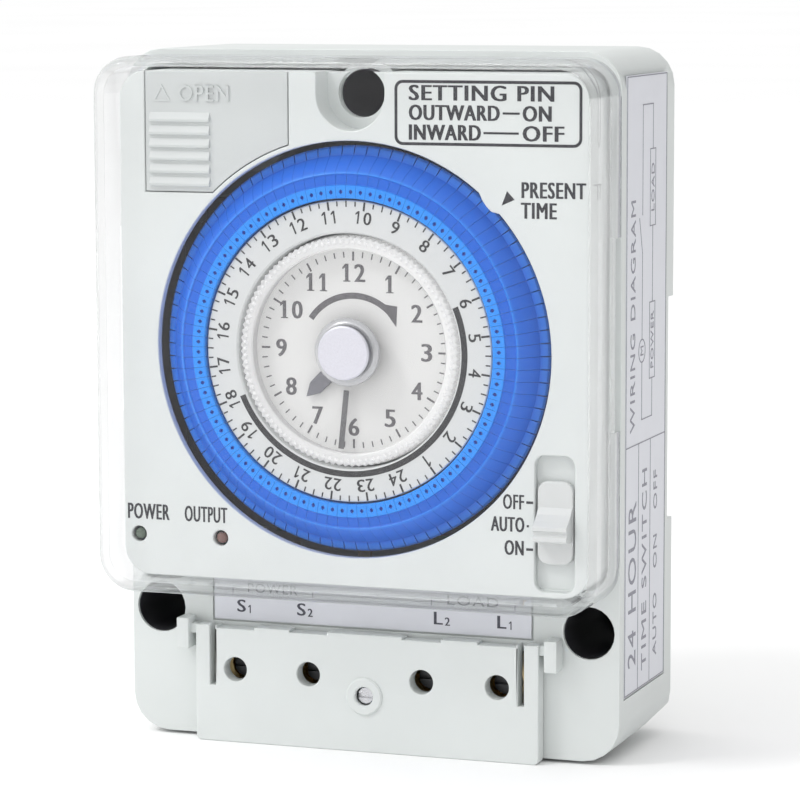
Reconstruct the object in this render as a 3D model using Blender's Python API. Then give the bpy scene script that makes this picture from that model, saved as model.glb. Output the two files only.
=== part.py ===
"""Twenty-four hour mechanical time switch for a heating circuit, on a 35 mm DIN rail.

Frame: +X to the right and +Z up as the user faces the dial, +Y back towards the wall.
The origin is the centre of the seat that rests on the rail. The numbers are in
millimetres, and solid() turns them into the metres that the scene is built in.
Depths grow towards the wall, so the user's side of every piece has the lower Y.
"""

from math import cos, hypot, pi, radians, sin

import bmesh
import bpy
from mathutils import Matrix, Vector

MM = 0.001
GAP = 0.3  # clearance between pieces that sit on or in each other

# Casing
BODY_WIDTH = 82.0
BODY_HEIGHT = 110.0
BODY_BOTTOM = -52.5
BODY_CORNER = 6.0
BODY_WALL = 2.0
DECK_Y = -26.9  # front of the lower deck and of the casing's rim
BACK_Y = 2.5  # back face, beyond the rail seat at Y = 0
CAVITY_BACK_Y = -2.4  # inner side of the back wall
UNDERSIDE_RISE = 3.8  # the underside climbs this much from front to back
DECK_TOP = -25.8  # the deck's upper edge, where the movement's cavity starts
BODY_X = BODY_WIDTH / 2
BODY_TOP = BODY_BOTTOM + BODY_HEIGHT
CAVITY_X = BODY_X - BODY_WALL
CAVITY_TOP = BODY_TOP - BODY_WALL - GAP

# DIN rail
RAIL_HEIGHT = 35.0
RAIL_PLAY = 0.8
RAIL_FLANGE = 1.0
SEAT_RAISE = 0.4
SEAT_WIDTH = 40.0
SEAT_HEIGHT = 24.0
HOOK_REACH = 1.2
CLIP_WIDTH = 16.0
RAIL_FACE_Z = (RAIL_HEIGHT + RAIL_PLAY) / 2

# Front panel
PANEL_Y = -35.2
PANEL_PLATE = 2.4
PANEL_SKIRT_WALL = 1.2
PANEL_TOP = BODY_TOP - 3.2
PANEL_REACH = 2.6  # how far the skirt reaches into the casing
PANEL_CORNER = 4.5
PANEL_SIDE_GAP = 0.4
PANEL_X = CAVITY_X - PANEL_SIDE_GAP
PANEL_LOW = DECK_TOP + GAP
PANEL_BACK_Y = PANEL_Y + PANEL_PLATE
PANEL_POSTS = (
    (-PANEL_X + 3.9, BODY_TOP - 7.9),
    (PANEL_X - 3.9, BODY_TOP - 7.9),
    (-PANEL_X + 3.9, 21.5),
    (PANEL_X - 3.9, 21.5),
)
POST_R = 2.6
POST_END_Y = CAVITY_BACK_Y - 1.6

# Clear cover
COVER_FRONT_Y = -40.9
COVER_WALL = 1.5
COVER_BOTTOM = -27.6
COVER_TOP = BODY_TOP - 0.9
COVER_CORNER = 6.0
COVER_FRONT_BEVEL = 1.2
GRIP_LOW = -0.3
GRIP_HIGH = 29.4
GRIP_DEPTH = 3.0

# Fixing screws through the casing to the wall
SCREW_SPACING = BODY_WIDTH - 10.0
SCREW_LOW_Z = -32.2
SCREW_TOP_Z = BODY_TOP - 6.6
SCREW_ACCESS_R = 4.15
SCREW_TOP_ACCESS_R = 3.75
SCREW_SHANK_R = 2.3
SCREW_FLOOR_Y = -3.0
TUBE_WALL = 1.45
TUBE_FRONT_Y = -29.4
TUBE_R = SCREW_TOP_ACCESS_R + TUBE_WALL
NOTCH_R = TUBE_R + 0.4

# Terminals
TERMINAL_X = {"s1": -22.0, "s2": -9.5, "l2": 9.5, "l1": 22.0}
TERMINAL_Z = -41.1
CHAMBER_HALF_WIDTH = 27.3
CHAMBER_LOW = -50.0
CHAMBER_HIGH = -35.6
CHAMBER_BACK_Y = -8.0
POST_HALF_WIDTH = 3.4
WIRE_ENTRY_WIDTH = 6.4
WIRE_ENTRY_DEPTH = 7.0
TCOVER_WIDTH = 57.6
TCOVER_LOW = -53.0
TCOVER_HIGH = -34.15
TCOVER_THICK = 2.7
TCOVER_HOLE_R = 1.95
TCOVER_SCREW_Z = -44.0
TCOVER_SLIT_X = 25.9
TCOVER_SLIT_LOW = -43.85
EAR_INNER_X = 28.8
EAR_OUTER_X = 31.9

# Stickers, in shallow recesses
LABEL_DEPTH = 0.5
LABEL_THICK = 0.2
LABEL_EDGE_GAP = 0.3
TERMINAL_LABEL_X = 27.0
TERMINAL_LABEL_LOW = -33.9
TERMINAL_LABEL_HIGH = -26.4
SIDE_LABEL_FRONT_Y = -24.6
SIDE_LABEL_BACK_Y = -1.6
SIDE_LABEL_LOW = -43.0
SIDE_LABEL_HIGH = BODY_TOP - 3.5

# Dial, concentric pieces that all turn about the line X = 0, Z = DIAL_Z
DIAL_Z = 11.4
OPENING_R = 32.4
TRIPPERS = 96
TRIPPER_INNER_R = 23.7
TRIPPER_OUTER_R = 31.6
TRIPPER_FRONT_Y = -37.2
TRIPPER_BACK_Y = -31.3
RING_WEB = 0.4
HALF_SPLIT = 0.12  # half the gap between neighbouring trippers
DAY_RING_Y = -36.6
DAY_RING_INNER_R = 18.3
DAY_RING_OUTER_R = 23.4
DAY_WEB_Y = -32.4
DAY_FLANGE_R = 29.5
FACE_Y = -34.0
FACE_R = 15.6
FACE_THICK = 0.8
HAND_Y = FACE_Y - 0.9
HAND_THICK = 0.5
HOUR_HAND_ANGLE = 90.0 - 225.5
MINUTE_DISC_Y = -36.4
MINUTE_DISC_R = 17.9
MINUTE_DISC_RIM = 2.4
KNOB_Y = -38.8
KNOB_R = 4.4
KNOB_SKIRT_R = 5.3
KNOB_BORE_DEPTH = 1.4
INDEX_ANGLE = 46.0  # present-time mark, above the horizontal on the right
LOOSE_TRIPPERS = (2, 17, 39, 52, 74, 89)  # the ones that slide on their own

# Movement between two plates
FRONT_PLATE_Y = -26.5
BACK_PLATE_Y = -15.4
PLATE_THICK = 1.2
PLATE_HALF_WIDTH = 31.4
PLATE_LOW = -18.2
PLATE_HIGH = 34.0
PLATE_POSTS = ((-27.0, -15.6), (27.0, -15.6), (-29.0, 31.4), (29.0, 31.4))
STEM_INNER_R = 2.0
STEM_OUTER_R = 2.8
ARBOR_R = 0.8
HOUR_PIPE_INNER_R = ARBOR_R + GAP
HOUR_PIPE_OUTER_R = STEM_INNER_R - GAP
WHEEL_THICK = 1.2
MODULE = 0.5
SMALL_MODULE = 0.96 * MODULE  # cannon pinion and minute wheel, whose teeth add up to fifty
TRAIN_REACH = 24 * MODULE  # centre distance of the minute train and the motor
DRIVE_REACH = 27 * MODULE  # centre distance of the dial drive
DIAL_GEAR_Y = -29.2
HOUR_WHEEL_Y = -24.8
DRIVE_WHEEL_Y = -23.4
MINUTE_WHEEL_Y = -20.4
CENTRE_WHEEL_Y = -18.0
MOTOR_ANGLE = 100.0
MINUTE_ANGLE = -35.0
DRIVE_ANGLE = 190.0
MOTOR_R = 11.0
MOTOR_BACK_Y = -6.6
MOTOR_SHEET = 0.8

# Switching
LEVER_X = 18.1
LEVER_Z = 44.6
LEVER_Y = PANEL_BACK_Y + 0.4
LEVER_THICK = 1.2
LEVER_PIN_R = 1.2
NOSE_R = 0.9
MICRO_LEFT = 27.4
MICRO_LOW = 33.6
MICRO_HIGH = 43.2
PLUNGER_TRAVEL = 0.7
PLUNGER_Z = 38.4
PLUNGER_PROUD = 1.4
PLUNGER_WELL = 4.4
PLUNGER_HALF = 1.0

# Battery, mode switch, lamps
BATTERY_X = -22.8
BATTERY_Z = 45.0
BATTERY_R = 6.0
BATTERY_FRONT_Y = -30.5
BATTERY_BACK_Y = -12.5
DOOR_LEFT = -PANEL_X + 4.4
DOOR_RIGHT = -10.3
DOOR_LOW = 35.5
DOOR_ARC_R = 33.3
DOOR_THICK = 1.2
DOOR_RIBS = 6
DOOR_RIB_PITCH = 2.0
SLOT_WIDTH = 6.4
SLOT_RIGHT = PANEL_X - 2.4
SLOT_LEFT = SLOT_RIGHT - SLOT_WIDTH
SLOT_LOW = -24.6
SLOT_HIGH = -3.5
SLIDER_Z = -13.9
SLIDER_LENGTH = 12.9
SLIDER_TRAVEL = 3.6
SLIDER_SIDE_PLAY = 0.35
SLOT_FLOOR_Y = PANEL_Y + PANEL_PLATE - 0.7
STEM_HALF = 1.5
STEM_BITE = 2.0  # how far the stem reaches into the contact block
MODE_BLOCK_Y = -31.0
LAMP_X = {"power": -PANEL_X + 2.5, "output": -22.1}
LAMP_Z = -19.05
LAMP_R = 0.95
LAMP_BOARD_Y = -29.0
BOARD_Y = -5.9
BOARD_THICK = 1.6
BOARD_HALF_WIDTH = 24.3

# Colours: red, green, blue, roughness, metallic
COLOURS = {
    "grey_abs": (0.68, 0.71, 0.71, 0.45, 0.0),
    "clear": (0.92, 0.92, 0.97, 0.05, 0.0),
    "white": (0.86, 0.87, 0.87, 0.4, 0.0),
    "blue": (0.05, 0.22, 0.75, 0.3, 0.0),
    "steel": (0.62, 0.62, 0.64, 0.3, 1.0),
    "brass": (0.75, 0.6, 0.3, 0.3, 1.0),
    "acetal": (0.85, 0.84, 0.78, 0.5, 0.0),
    "dark": (0.09, 0.09, 0.1, 0.5, 0.0),
    "board": (0.05, 0.27, 0.13, 0.5, 0.0),
    "copper": (0.7, 0.35, 0.2, 0.35, 1.0),
    "green_lamp": (0.1, 0.3, 0.15, 0.25, 0.0),
    "red_lamp": (0.45, 0.12, 0.1, 0.25, 0.0),
    "label": (0.72, 0.73, 0.79, 0.55, 0.0),
    "battery": (0.1, 0.45, 0.25, 0.4, 0.0),
}


# ---------------------------------------------------------------- shape helpers
def solid(name, mesh, colour=None, origin=(0.0, 0.0, 0.0)):
    """Put a millimetre mesh in the scene in metres, with its origin at `origin`."""
    bmesh.ops.translate(mesh, vec=-Vector(origin), verts=mesh.verts)
    bmesh.ops.scale(mesh, vec=(MM, MM, MM), verts=mesh.verts)
    bmesh.ops.recalc_face_normals(mesh, faces=mesh.faces)
    data = bpy.data.meshes.new(name)
    mesh.to_mesh(data)
    mesh.free()
    data.shade_smooth()
    data.set_sharp_from_angle(angle=radians(30))
    thing = bpy.data.objects.new(name, data)
    thing.location = Vector(origin) * MM
    bpy.context.scene.collection.objects.link(thing)
    if colour:
        data.materials.append(material(name, colour))
    else:
        thing.hide_render = True
        thing.display_type = "WIRE"
    return thing


def material(name, colour):
    red, green, blue, roughness, metallic = COLOURS[colour]
    made = bpy.data.materials.new(name)
    made.use_nodes = True
    shader = made.node_tree.nodes["Principled BSDF"]
    shader.inputs["Base Color"].default_value = (red, green, blue, 1.0)
    shader.inputs["Roughness"].default_value = roughness
    shader.inputs["Metallic"].default_value = metallic
    made.diffuse_color = (red, green, blue, 1.0)
    return made


def combine(thing, operation, others):
    for other in others:
        step = thing.modifiers.new(other.name, "BOOLEAN")
        step.operation = operation
        step.object = other
        step.solver = "EXACT"
    return thing


def cut(thing, *cutters):
    return combine(thing, "DIFFERENCE", cutters)


def join(thing, *additions):
    return combine(thing, "UNION", additions)


def prism(outline, front, back):
    """A mesh that extrudes an outline of (x, z) points from Y = front to Y = back."""
    mesh = bmesh.new()
    face = mesh.faces.new([mesh.verts.new((x, front, z)) for x, z in outline])
    grown = bmesh.ops.extrude_face_region(mesh, geom=[face])
    moved = [item for item in grown["geom"] if isinstance(item, bmesh.types.BMVert)]
    bmesh.ops.translate(mesh, vec=(0.0, back - front, 0.0), verts=moved)
    return mesh


def box(x0, x1, y0, y1, z0, z1):
    return prism([(x0, z0), (x1, z0), (x1, z1), (x0, z1)], y0, y1)


def rounded(x0, x1, z0, z1, radius, steps=5):
    """Outline of a rectangle with round corners."""
    points = []
    corners = ((x1, z1, 0), (x0, z1, 90), (x0, z0, 180), (x1, z0, 270))
    for x, z, start in corners:
        middle_x = x - radius if x == x1 else x + radius
        middle_z = z - radius if z == z1 else z + radius
        for step in range(steps + 1):
            angle = radians(start + 90.0 * step / steps)
            points.append((middle_x + radius * cos(angle), middle_z + radius * sin(angle)))
    return points


def turned(profile, x=0.0, z=DIAL_Z, steps=32):
    """A mesh that turns a closed profile of (radius, y) points about a line along Y."""
    mesh = bmesh.new()
    rings = []
    for step in range(steps):
        angle = 2 * pi * step / steps
        ring = []
        for radius, y in profile:
            place = (x + radius * cos(angle), y, z + radius * sin(angle))
            ring.append(mesh.verts.new(place))
        rings.append(ring)
    count = len(profile)
    for step in range(steps):
        this, following = rings[step], rings[(step + 1) % steps]
        for index in range(count):
            after = (index + 1) % count
            mesh.faces.new((this[index], following[index], following[after], this[after]))
    bmesh.ops.remove_doubles(mesh, verts=mesh.verts, dist=1e-5)
    bmesh.ops.dissolve_degenerate(mesh, edges=mesh.edges, dist=1e-6)
    return mesh


def rod(radius, front, back, x=0.0, z=DIAL_Z, steps=20):
    outline = []
    for step in range(steps):
        angle = 2 * pi * step / steps
        outline.append((x + radius * cos(angle), z + radius * sin(angle)))
    return prism(outline, front, back)


def tube(inner, outer, front, back, x=0.0, z=DIAL_Z, steps=32):
    profile = [(inner, front), (outer, front), (outer, back), (inner, back)]
    return turned(profile, x, z, steps)


def gear(teeth, x, z, module=MODULE, start=0.0):
    """Outline of a spur gear: a flat tip and a pointed root to each tooth, with play at the flank."""
    pitch_r = teeth * module / 2
    tip_r = pitch_r + 0.75 * module
    root_r = pitch_r - 1.25 * module
    pitch = 2 * pi / teeth
    points = []
    for tooth in range(teeth):
        middle = radians(start) + tooth * pitch
        for share, radius in ((-0.5, root_r), (-0.07, tip_r), (0.07, tip_r)):
            angle = middle + share * pitch
            points.append((x + radius * cos(angle), z + radius * sin(angle)))
    return points


def meshing_start(teeth, angle):
    """Turn of a gear that puts a gap between its teeth on the line at `angle`."""
    pitch = 360.0 / teeth
    return angle + pitch / 2


def at(angle, reach, x=0.0, z=DIAL_Z):
    return x + reach * cos(radians(angle)), z + reach * sin(radians(angle))


def screw(name, x, z, head_y, head_r, head_thick, shank_r, length, colour="steel"):
    """A pan-head screw driven along +Y, with a slot across its head."""
    seat = head_y + head_thick
    profile = [
        (0.0, head_y),
        (head_r * 0.8, head_y),
        (head_r, seat),
        (shank_r, seat),
        (shank_r, seat + length),
        (0.0, seat + length),
    ]
    made = solid(name, turned(profile, x, z, 12), colour, (x, head_y, z))
    slot = box(x - 2 * head_r, x + 2 * head_r, head_y - 1, head_y + head_thick * 0.5, z - 0.35, z + 0.35)
    return cut(made, solid(name + "_slot", slot))


# ---------------------------------------------------------------- casing
def make_housing():
    shell = prism(
        rounded(-BODY_X, BODY_X, BODY_BOTTOM, BODY_TOP, BODY_CORNER), DECK_Y, BACK_Y
    )
    housing = solid("rear_housing", shell, "grey_abs")

    # The underside climbs towards the wall, so the lower front edge stands proud.
    wedge = bmesh.new()
    depth = BACK_Y - DECK_Y
    corners = (
        (DECK_Y - 1, BODY_BOTTOM - UNDERSIDE_RISE / depth),
        (BACK_Y + 1, BODY_BOTTOM + UNDERSIDE_RISE * (depth + 1) / depth),
        (BACK_Y + 1, BODY_BOTTOM - 5),
        (DECK_Y - 1, BODY_BOTTOM - 5),
    )
    side = wedge.faces.new([wedge.verts.new((-BODY_X - 1, y, z)) for y, z in corners])
    grown = bmesh.ops.extrude_face_region(wedge, geom=[side])["geom"]
    moved = [item for item in grown if isinstance(item, bmesh.types.BMVert)]
    bmesh.ops.translate(wedge, vec=(BODY_WIDTH + 2, 0, 0), verts=moved)
    cut(housing, solid("underside_cut", wedge))

    # Cavity for the movement, open to the front.
    cavity = rounded(-CAVITY_X, CAVITY_X, DECK_TOP, CAVITY_TOP, BODY_CORNER - BODY_WALL)
    cut(housing, solid("cavity_cut", prism(cavity, DECK_Y - 1, CAVITY_BACK_Y)))

    # Posts inside: the upper fixing tube and the four movement posts.
    tube_outline = rod(TUBE_R, TUBE_FRONT_Y, CAVITY_BACK_Y + 0.5, 0.0, SCREW_TOP_Z, 24)
    join(housing, solid("fixing_tube", tube_outline))
    for number, (x, z) in enumerate(PLATE_POSTS):
        post = rod(2.3, FRONT_PLATE_Y + PLATE_THICK + GAP, CAVITY_BACK_Y + 0.5, x, z, 12)
        join(housing, solid(f"plate_post_{number}", post))
        hole = rod(1.4, FRONT_PLATE_Y, FRONT_PLATE_Y + 9, x, z, 8)
        cut(housing, solid(f"plate_post_hole_{number}", hole))

    # In front of the rim the tube is a cradle, open upwards under the clear cover.
    cradle = box(-TUBE_R - 1, TUBE_R + 1, TUBE_FRONT_Y - 1, DECK_Y, SCREW_TOP_Z + 2.4, BODY_TOP + 1)
    cut(housing, solid("cradle_cut", cradle))

    # Counterbored fixing holes.
    places = [(0.0, SCREW_TOP_Z, SCREW_TOP_ACCESS_R)]
    places += [(side * SCREW_SPACING / 2, SCREW_LOW_Z, SCREW_ACCESS_R) for side in (-1, 1)]
    for number, (x, z, radius) in enumerate(places):
        access = rod(radius, TUBE_FRONT_Y - 1, SCREW_FLOOR_Y, x, z, 24)
        through = rod(SCREW_SHANK_R, SCREW_FLOOR_Y - 1, BACK_Y + 1, x, z, 12)
        cut(housing, solid(f"screw_access_{number}", access))
        cut(housing, solid(f"screw_hole_{number}", through))

    # Two terminal chambers with the post for the cover's screw between them.
    for number, (low_x, high_x) in enumerate(
        ((-CHAMBER_HALF_WIDTH, -POST_HALF_WIDTH), (POST_HALF_WIDTH, CHAMBER_HALF_WIDTH))
    ):
        chamber = box(low_x, high_x, DECK_Y - 1, CHAMBER_BACK_Y, CHAMBER_LOW, CHAMBER_HIGH)
        cut(housing, solid(f"chamber_{number}", chamber))
        front = CHAMBER_BACK_Y - 4.5
        channel = box(low_x + 2.4, high_x - 2.4, front, CHAMBER_BACK_Y, CHAMBER_HIGH - 1, DECK_TOP + 1)
        cut(housing, solid(f"lead_channel_{number}", channel))
    post_hole = rod(1.3, DECK_Y - 1, DECK_Y + 12, 0.0, TCOVER_SCREW_Z, 16)
    cut(housing, solid("cover_screw_hole", post_hole))
    for name, x in TERMINAL_X.items():
        half = WIRE_ENTRY_WIDTH / 2
        back = DECK_Y + WIRE_ENTRY_DEPTH
        entry = box(x - half, x + half, DECK_Y - 1, back, BODY_BOTTOM - 2, CHAMBER_LOW + 1)
        cut(housing, solid(f"wire_entry_{name}", entry))

    # DIN channel: floor, raised seat, fixed hooks above and the clip's slot below.
    channel = box(-BODY_X - 1, BODY_X + 1, -SEAT_RAISE, BACK_Y + 1, -RAIL_FACE_Z, RAIL_FACE_Z)
    cut(housing, solid("rail_channel", channel))
    seat = box(-SEAT_WIDTH / 2, SEAT_WIDTH / 2, -SEAT_RAISE - 0.5, 0.0, -SEAT_HEIGHT / 2, SEAT_HEIGHT / 2)
    join(housing, solid("rail_seat", seat))
    for number, x in enumerate((-22.0, 22.0)):
        hook = box(x - 6, x + 6, RAIL_FLANGE + 0.2, BACK_Y, RAIL_FACE_Z - HOOK_REACH, RAIL_FACE_Z + 1)
        join(housing, solid(f"rail_hook_{number}", hook))
    half = CLIP_WIDTH / 2 + GAP
    clip_slot = box(-half, half, -SEAT_RAISE, BACK_Y + 1, BODY_BOTTOM - 1, -RAIL_FACE_Z + 1)
    cut(housing, solid("clip_slot", clip_slot))

    # Recesses for the casing screws' heads, and for the two stickers.
    for number, (x, z) in enumerate(PANEL_POSTS):
        head = rod(2.7, BACK_Y - 2.2, BACK_Y + 1, x, z, 12)
        shank = rod(1.6, CAVITY_BACK_Y - 1, BACK_Y, x, z, 8)
        cut(housing, solid(f"case_head_{number}", head), solid(f"case_shank_{number}", shank))
    floor, half = DECK_Y + LABEL_DEPTH, TERMINAL_LABEL_X
    recess = box(-half, half, DECK_Y - 1, floor, TERMINAL_LABEL_LOW, TERMINAL_LABEL_HIGH)
    cut(housing, solid("terminal_label_recess", recess))
    floor, low, high = BODY_X - LABEL_DEPTH, SIDE_LABEL_LOW, SIDE_LABEL_HIGH
    recess = box(floor, BODY_X + 1, SIDE_LABEL_FRONT_Y, SIDE_LABEL_BACK_Y, low, high)
    cut(housing, solid("side_label_recess", recess))


def make_labels():
    edge = LABEL_EDGE_GAP
    half, back = TERMINAL_LABEL_X - edge, DECK_Y + LABEL_THICK
    film = box(-half, half, DECK_Y, back, TERMINAL_LABEL_LOW + edge, TERMINAL_LABEL_HIGH - edge)
    solid("terminal_label", film, "label")
    front, back = SIDE_LABEL_FRONT_Y + edge, SIDE_LABEL_BACK_Y - edge
    film = box(BODY_X - LABEL_THICK, BODY_X, front, back, SIDE_LABEL_LOW + edge, SIDE_LABEL_HIGH - edge)
    solid("side_label", film, "label")


def make_rail_clip():
    """A sliding foot: its nose grips the rail's lower edge, its tail is pulled down."""
    half = CLIP_WIDTH / 2
    low = BODY_BOTTOM + UNDERSIDE_RISE - 1.5
    blade = box(-half, half, -SEAT_RAISE + GAP, BACK_Y - 0.2, low, -RAIL_FACE_Z - GAP)
    clip = solid("rail_clip", blade, "grey_abs", (0.0, 0.0, -RAIL_FACE_Z))
    front, back = RAIL_FLANGE + 0.2, BACK_Y - 0.2
    nose = box(-half + 1, half - 1, front, back, -RAIL_FACE_Z - 1, -RAIL_FACE_Z + HOOK_REACH)
    join(clip, solid("rail_clip_nose", nose))
    pull = box(-3.5, 3.5, -1, BACK_Y + 1, low + 1.8, low + 4.4)
    cut(clip, solid("rail_clip_window", pull))


# ---------------------------------------------------------------- front panel
def make_panel():
    outline = rounded(-PANEL_X, PANEL_X, PANEL_LOW, PANEL_TOP, PANEL_CORNER)
    panel = solid("front_panel", prism(outline, PANEL_Y, DECK_Y + PANEL_REACH), "grey_abs")
    wall = PANEL_SKIRT_WALL
    hollow = rounded(
        -PANEL_X + wall, PANEL_X - wall, PANEL_LOW + wall, PANEL_TOP - wall, PANEL_CORNER - wall
    )
    cut(panel, solid("panel_hollow", prism(hollow, PANEL_BACK_Y, DECK_Y + PANEL_REACH + 1)))
    opening = rod(OPENING_R, PANEL_Y - 1, PANEL_BACK_Y + 1, steps=56)
    cut(panel, solid("dial_opening", opening))

    # Posts that take the casing screws.
    for number, (x, z) in enumerate(PANEL_POSTS):
        post = rod(POST_R, PANEL_BACK_Y - 0.5, POST_END_Y, x, z, 12)
        join(panel, solid(f"panel_post_{number}", post))
        hole = rod(1.5, POST_END_Y - 10, POST_END_Y + 1, x, z, 8)
        cut(panel, solid(f"panel_post_hole_{number}", hole))

    # Notch round the upper fixing tube, open to the top edge.
    notch = rod(NOTCH_R, PANEL_Y - 1, DECK_Y + PANEL_REACH + 1, 0.0, SCREW_TOP_Z, 32)
    cut(panel, solid("notch_round", notch))
    notch = box(-NOTCH_R, NOTCH_R, PANEL_Y - 1, DECK_Y + PANEL_REACH + 1, SCREW_TOP_Z, PANEL_TOP + 1)
    cut(panel, solid("notch_open", notch))

    # Recess for the battery door, open to the top edge, and the battery's hatch in it.
    recess = prism(door_outline(GAP, PANEL_TOP + 1), PANEL_Y - 1, PANEL_Y + DOOR_THICK + GAP)
    cut(panel, solid("door_recess", recess))
    hatch = rod(BATTERY_R + 0.5, PANEL_Y - 1, PANEL_BACK_Y + 1, BATTERY_X, BATTERY_Z, 32)
    cut(panel, solid("battery_hatch", hatch))

    # Pocket for the mode slider, with a slot in its floor for the stem.
    pocket = prism(rounded(SLOT_LEFT, SLOT_RIGHT, SLOT_LOW, SLOT_HIGH, 1.6, 4), PANEL_Y - 1, SLOT_FLOOR_Y)
    cut(panel, solid("slider_pocket", pocket))
    middle = (SLOT_LEFT + SLOT_RIGHT) / 2
    reach = STEM_HALF + SLIDER_TRAVEL + GAP
    half = STEM_HALF + GAP
    low, high = SLIDER_Z - reach, SLIDER_Z + reach
    stem = box(middle - half, middle + half, PANEL_Y, PANEL_BACK_Y + 1, low, high)
    cut(panel, solid("stem_slot", stem))
    for name, x in LAMP_X.items():
        hole = rod(LAMP_R + GAP, PANEL_Y - 1, PANEL_BACK_Y + 1, x, LAMP_Z, 16)
        cut(panel, solid(f"{name}_lamp_hole", hole))


def door_outline(grow, top):
    """Outline of the battery door: a panel whose lower right side follows the dial."""
    left, right = DOOR_LEFT - grow, DOOR_RIGHT + grow
    low, arc_r = DOOR_LOW - grow, DOOR_ARC_R - grow
    low_x = -((arc_r**2 - (low - DIAL_Z) ** 2) ** 0.5)
    arc_top = DIAL_Z + (arc_r**2 - right**2) ** 0.5
    points = [(left, top), (left, low), (low_x, low)]
    steps = 6
    for step in range(1, steps):
        x = low_x + (right - low_x) * step / steps
        points.append((x, DIAL_Z + (arc_r**2 - x**2) ** 0.5))
    return points + [(right, arc_top), (right, top)]


def make_battery_door():
    top = PANEL_TOP
    origin = ((DOOR_LEFT + DOOR_RIGHT) / 2, PANEL_Y, top)
    outline = door_outline(0.0, top)
    door = solid("battery_door", prism(outline, PANEL_Y, PANEL_Y + DOOR_THICK), "grey_abs", origin)
    for number in range(DOOR_RIBS):
        z = DOOR_LOW + 1.2 + DOOR_RIB_PITCH * number
        rib = box(DOOR_LEFT + 0.8, DOOR_LEFT + 10.8, PANEL_Y - 0.5, PANEL_Y + 0.4, z, z + 1.0)
        join(door, solid(f"door_rib_{number}", rib))


def make_cover():
    """The clear cover: an open box that pulls straight off towards the user."""
    rim = DECK_Y - GAP
    shell = rounded(-BODY_X, BODY_X, COVER_BOTTOM, COVER_TOP, COVER_CORNER)
    cover = solid("dial_cover", prism(shell, COVER_FRONT_Y, rim), "clear", (0.0, rim, DIAL_Z))
    bevel = cover.modifiers.new("front_edge", "BEVEL")
    bevel.width = COVER_FRONT_BEVEL * MM
    bevel.segments = 2
    bevel.limit_method = "ANGLE"
    bevel.angle_limit = radians(60)
    hollow = rounded(
        -BODY_X + COVER_WALL,
        BODY_X - COVER_WALL,
        COVER_BOTTOM + COVER_WALL,
        COVER_TOP - COVER_WALL,
        COVER_CORNER - COVER_WALL,
    )
    cut(cover, solid("cover_hollow", prism(hollow, COVER_FRONT_Y + COVER_WALL, rim + 2)))
    grip = box(-BODY_X - 1, BODY_X + 1, rim - GRIP_DEPTH, rim + 2, GRIP_LOW, GRIP_HIGH)
    cut(cover, solid("finger_grips", grip))


# ---------------------------------------------------------------- terminals
def make_terminal_cover():
    back = DECK_Y - GAP
    front = back - TCOVER_THICK
    half = TCOVER_WIDTH / 2
    outline = rounded(-half, half, TCOVER_LOW, TCOVER_HIGH, 0.8, 2)
    cover = solid("terminal_cover", prism(outline, front, back), "grey_abs", (0.0, back, TCOVER_SCREW_Z))
    for number, side in enumerate((-1, 1)):
        ear_x = sorted((side * (EAR_INNER_X - 0.6), side * EAR_OUTER_X))
        neck = box(*ear_x, front + 0.5, back, TCOVER_HIGH - 1.6, TCOVER_HIGH)
        ear_x = sorted((side * (EAR_OUTER_X - 2.1), side * EAR_OUTER_X))
        pad = box(*ear_x, front - 0.6, back, TCOVER_HIGH - 4.0, TCOVER_HIGH + 1.0)
        join(cover, solid(f"ear_neck_{number}", neck), solid(f"ear_pad_{number}", pad))
        slit_x = sorted((side * (TCOVER_SLIT_X - 0.5), side * (TCOVER_SLIT_X + 0.5)))
        slit = box(*slit_x, front - 1, back + 1, TCOVER_SLIT_LOW, TCOVER_HIGH + 3)
        cut(cover, solid(f"ear_slit_{number}", slit))
    boss = rod(3.0, front - 0.4, front + 0.5, 0.0, TCOVER_SCREW_Z, 24)
    join(cover, solid("screw_boss", boss))
    bore = turned(
        [
            (0, front - 2),
            (1.9, front - 2),
            (1.9, back - 0.9),
            (1.35, back - 0.9),
            (1.35, back + 1),
            (0, back + 1),
        ],
        0.0,
        TCOVER_SCREW_Z,
        20,
    )
    cut(cover, solid("screw_bore", bore))
    for name, x in TERMINAL_X.items():
        hole = rod(TCOVER_HOLE_R, front - 1, back + 1, x, TERMINAL_Z, 16)
        relief = box(x - 3.2, x + 3.2, front - 1, back + 1, TCOVER_HIGH - 0.4, TCOVER_HIGH + 1)
        cut(cover, solid(f"driver_hole_{name}", hole), solid(f"edge_relief_{name}", relief))
    screw("terminal_cover_screw", 0.0, TCOVER_SCREW_Z, back - 2.1, 1.6, 0.9, 1.0, 9.0)


def make_terminals():
    half_width, low, high = 3.9, TERMINAL_Z - 6.4, TERMINAL_Z + 4.6
    front, back = DECK_Y + 2.5, CHAMBER_BACK_Y - GAP
    for name, x in TERMINAL_X.items():
        block = box(x - half_width, x + half_width, front, back, low, high)
        cage = solid(f"terminal_{name}", block, "brass")
        # The lead to the circuit board leaves the top of the clamp, beside the chamber's back wall.
        inner = -2.4 if x > 0 else 2.4
        lead = box(x + inner - 1, x + inner + 1, back - 2.4, back - 1.4, high - 1, DECK_TOP + 2.5)
        join(cage, solid(f"lead_{name}", lead))
        wire = rod_up(1.9, x, front + 4.6, low - 1, high - 2.2, 10)
        well = rod(2.7, front - 1, front + 7.6, x, TERMINAL_Z, 12)
        cut(cage, solid(f"wire_hole_{name}", wire), solid(f"screw_well_{name}", well))
        screw(f"clamp_screw_{name}", x, TERMINAL_Z, front - 1.2, 2.3, 1.6, 1.5, 1.4)


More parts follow.
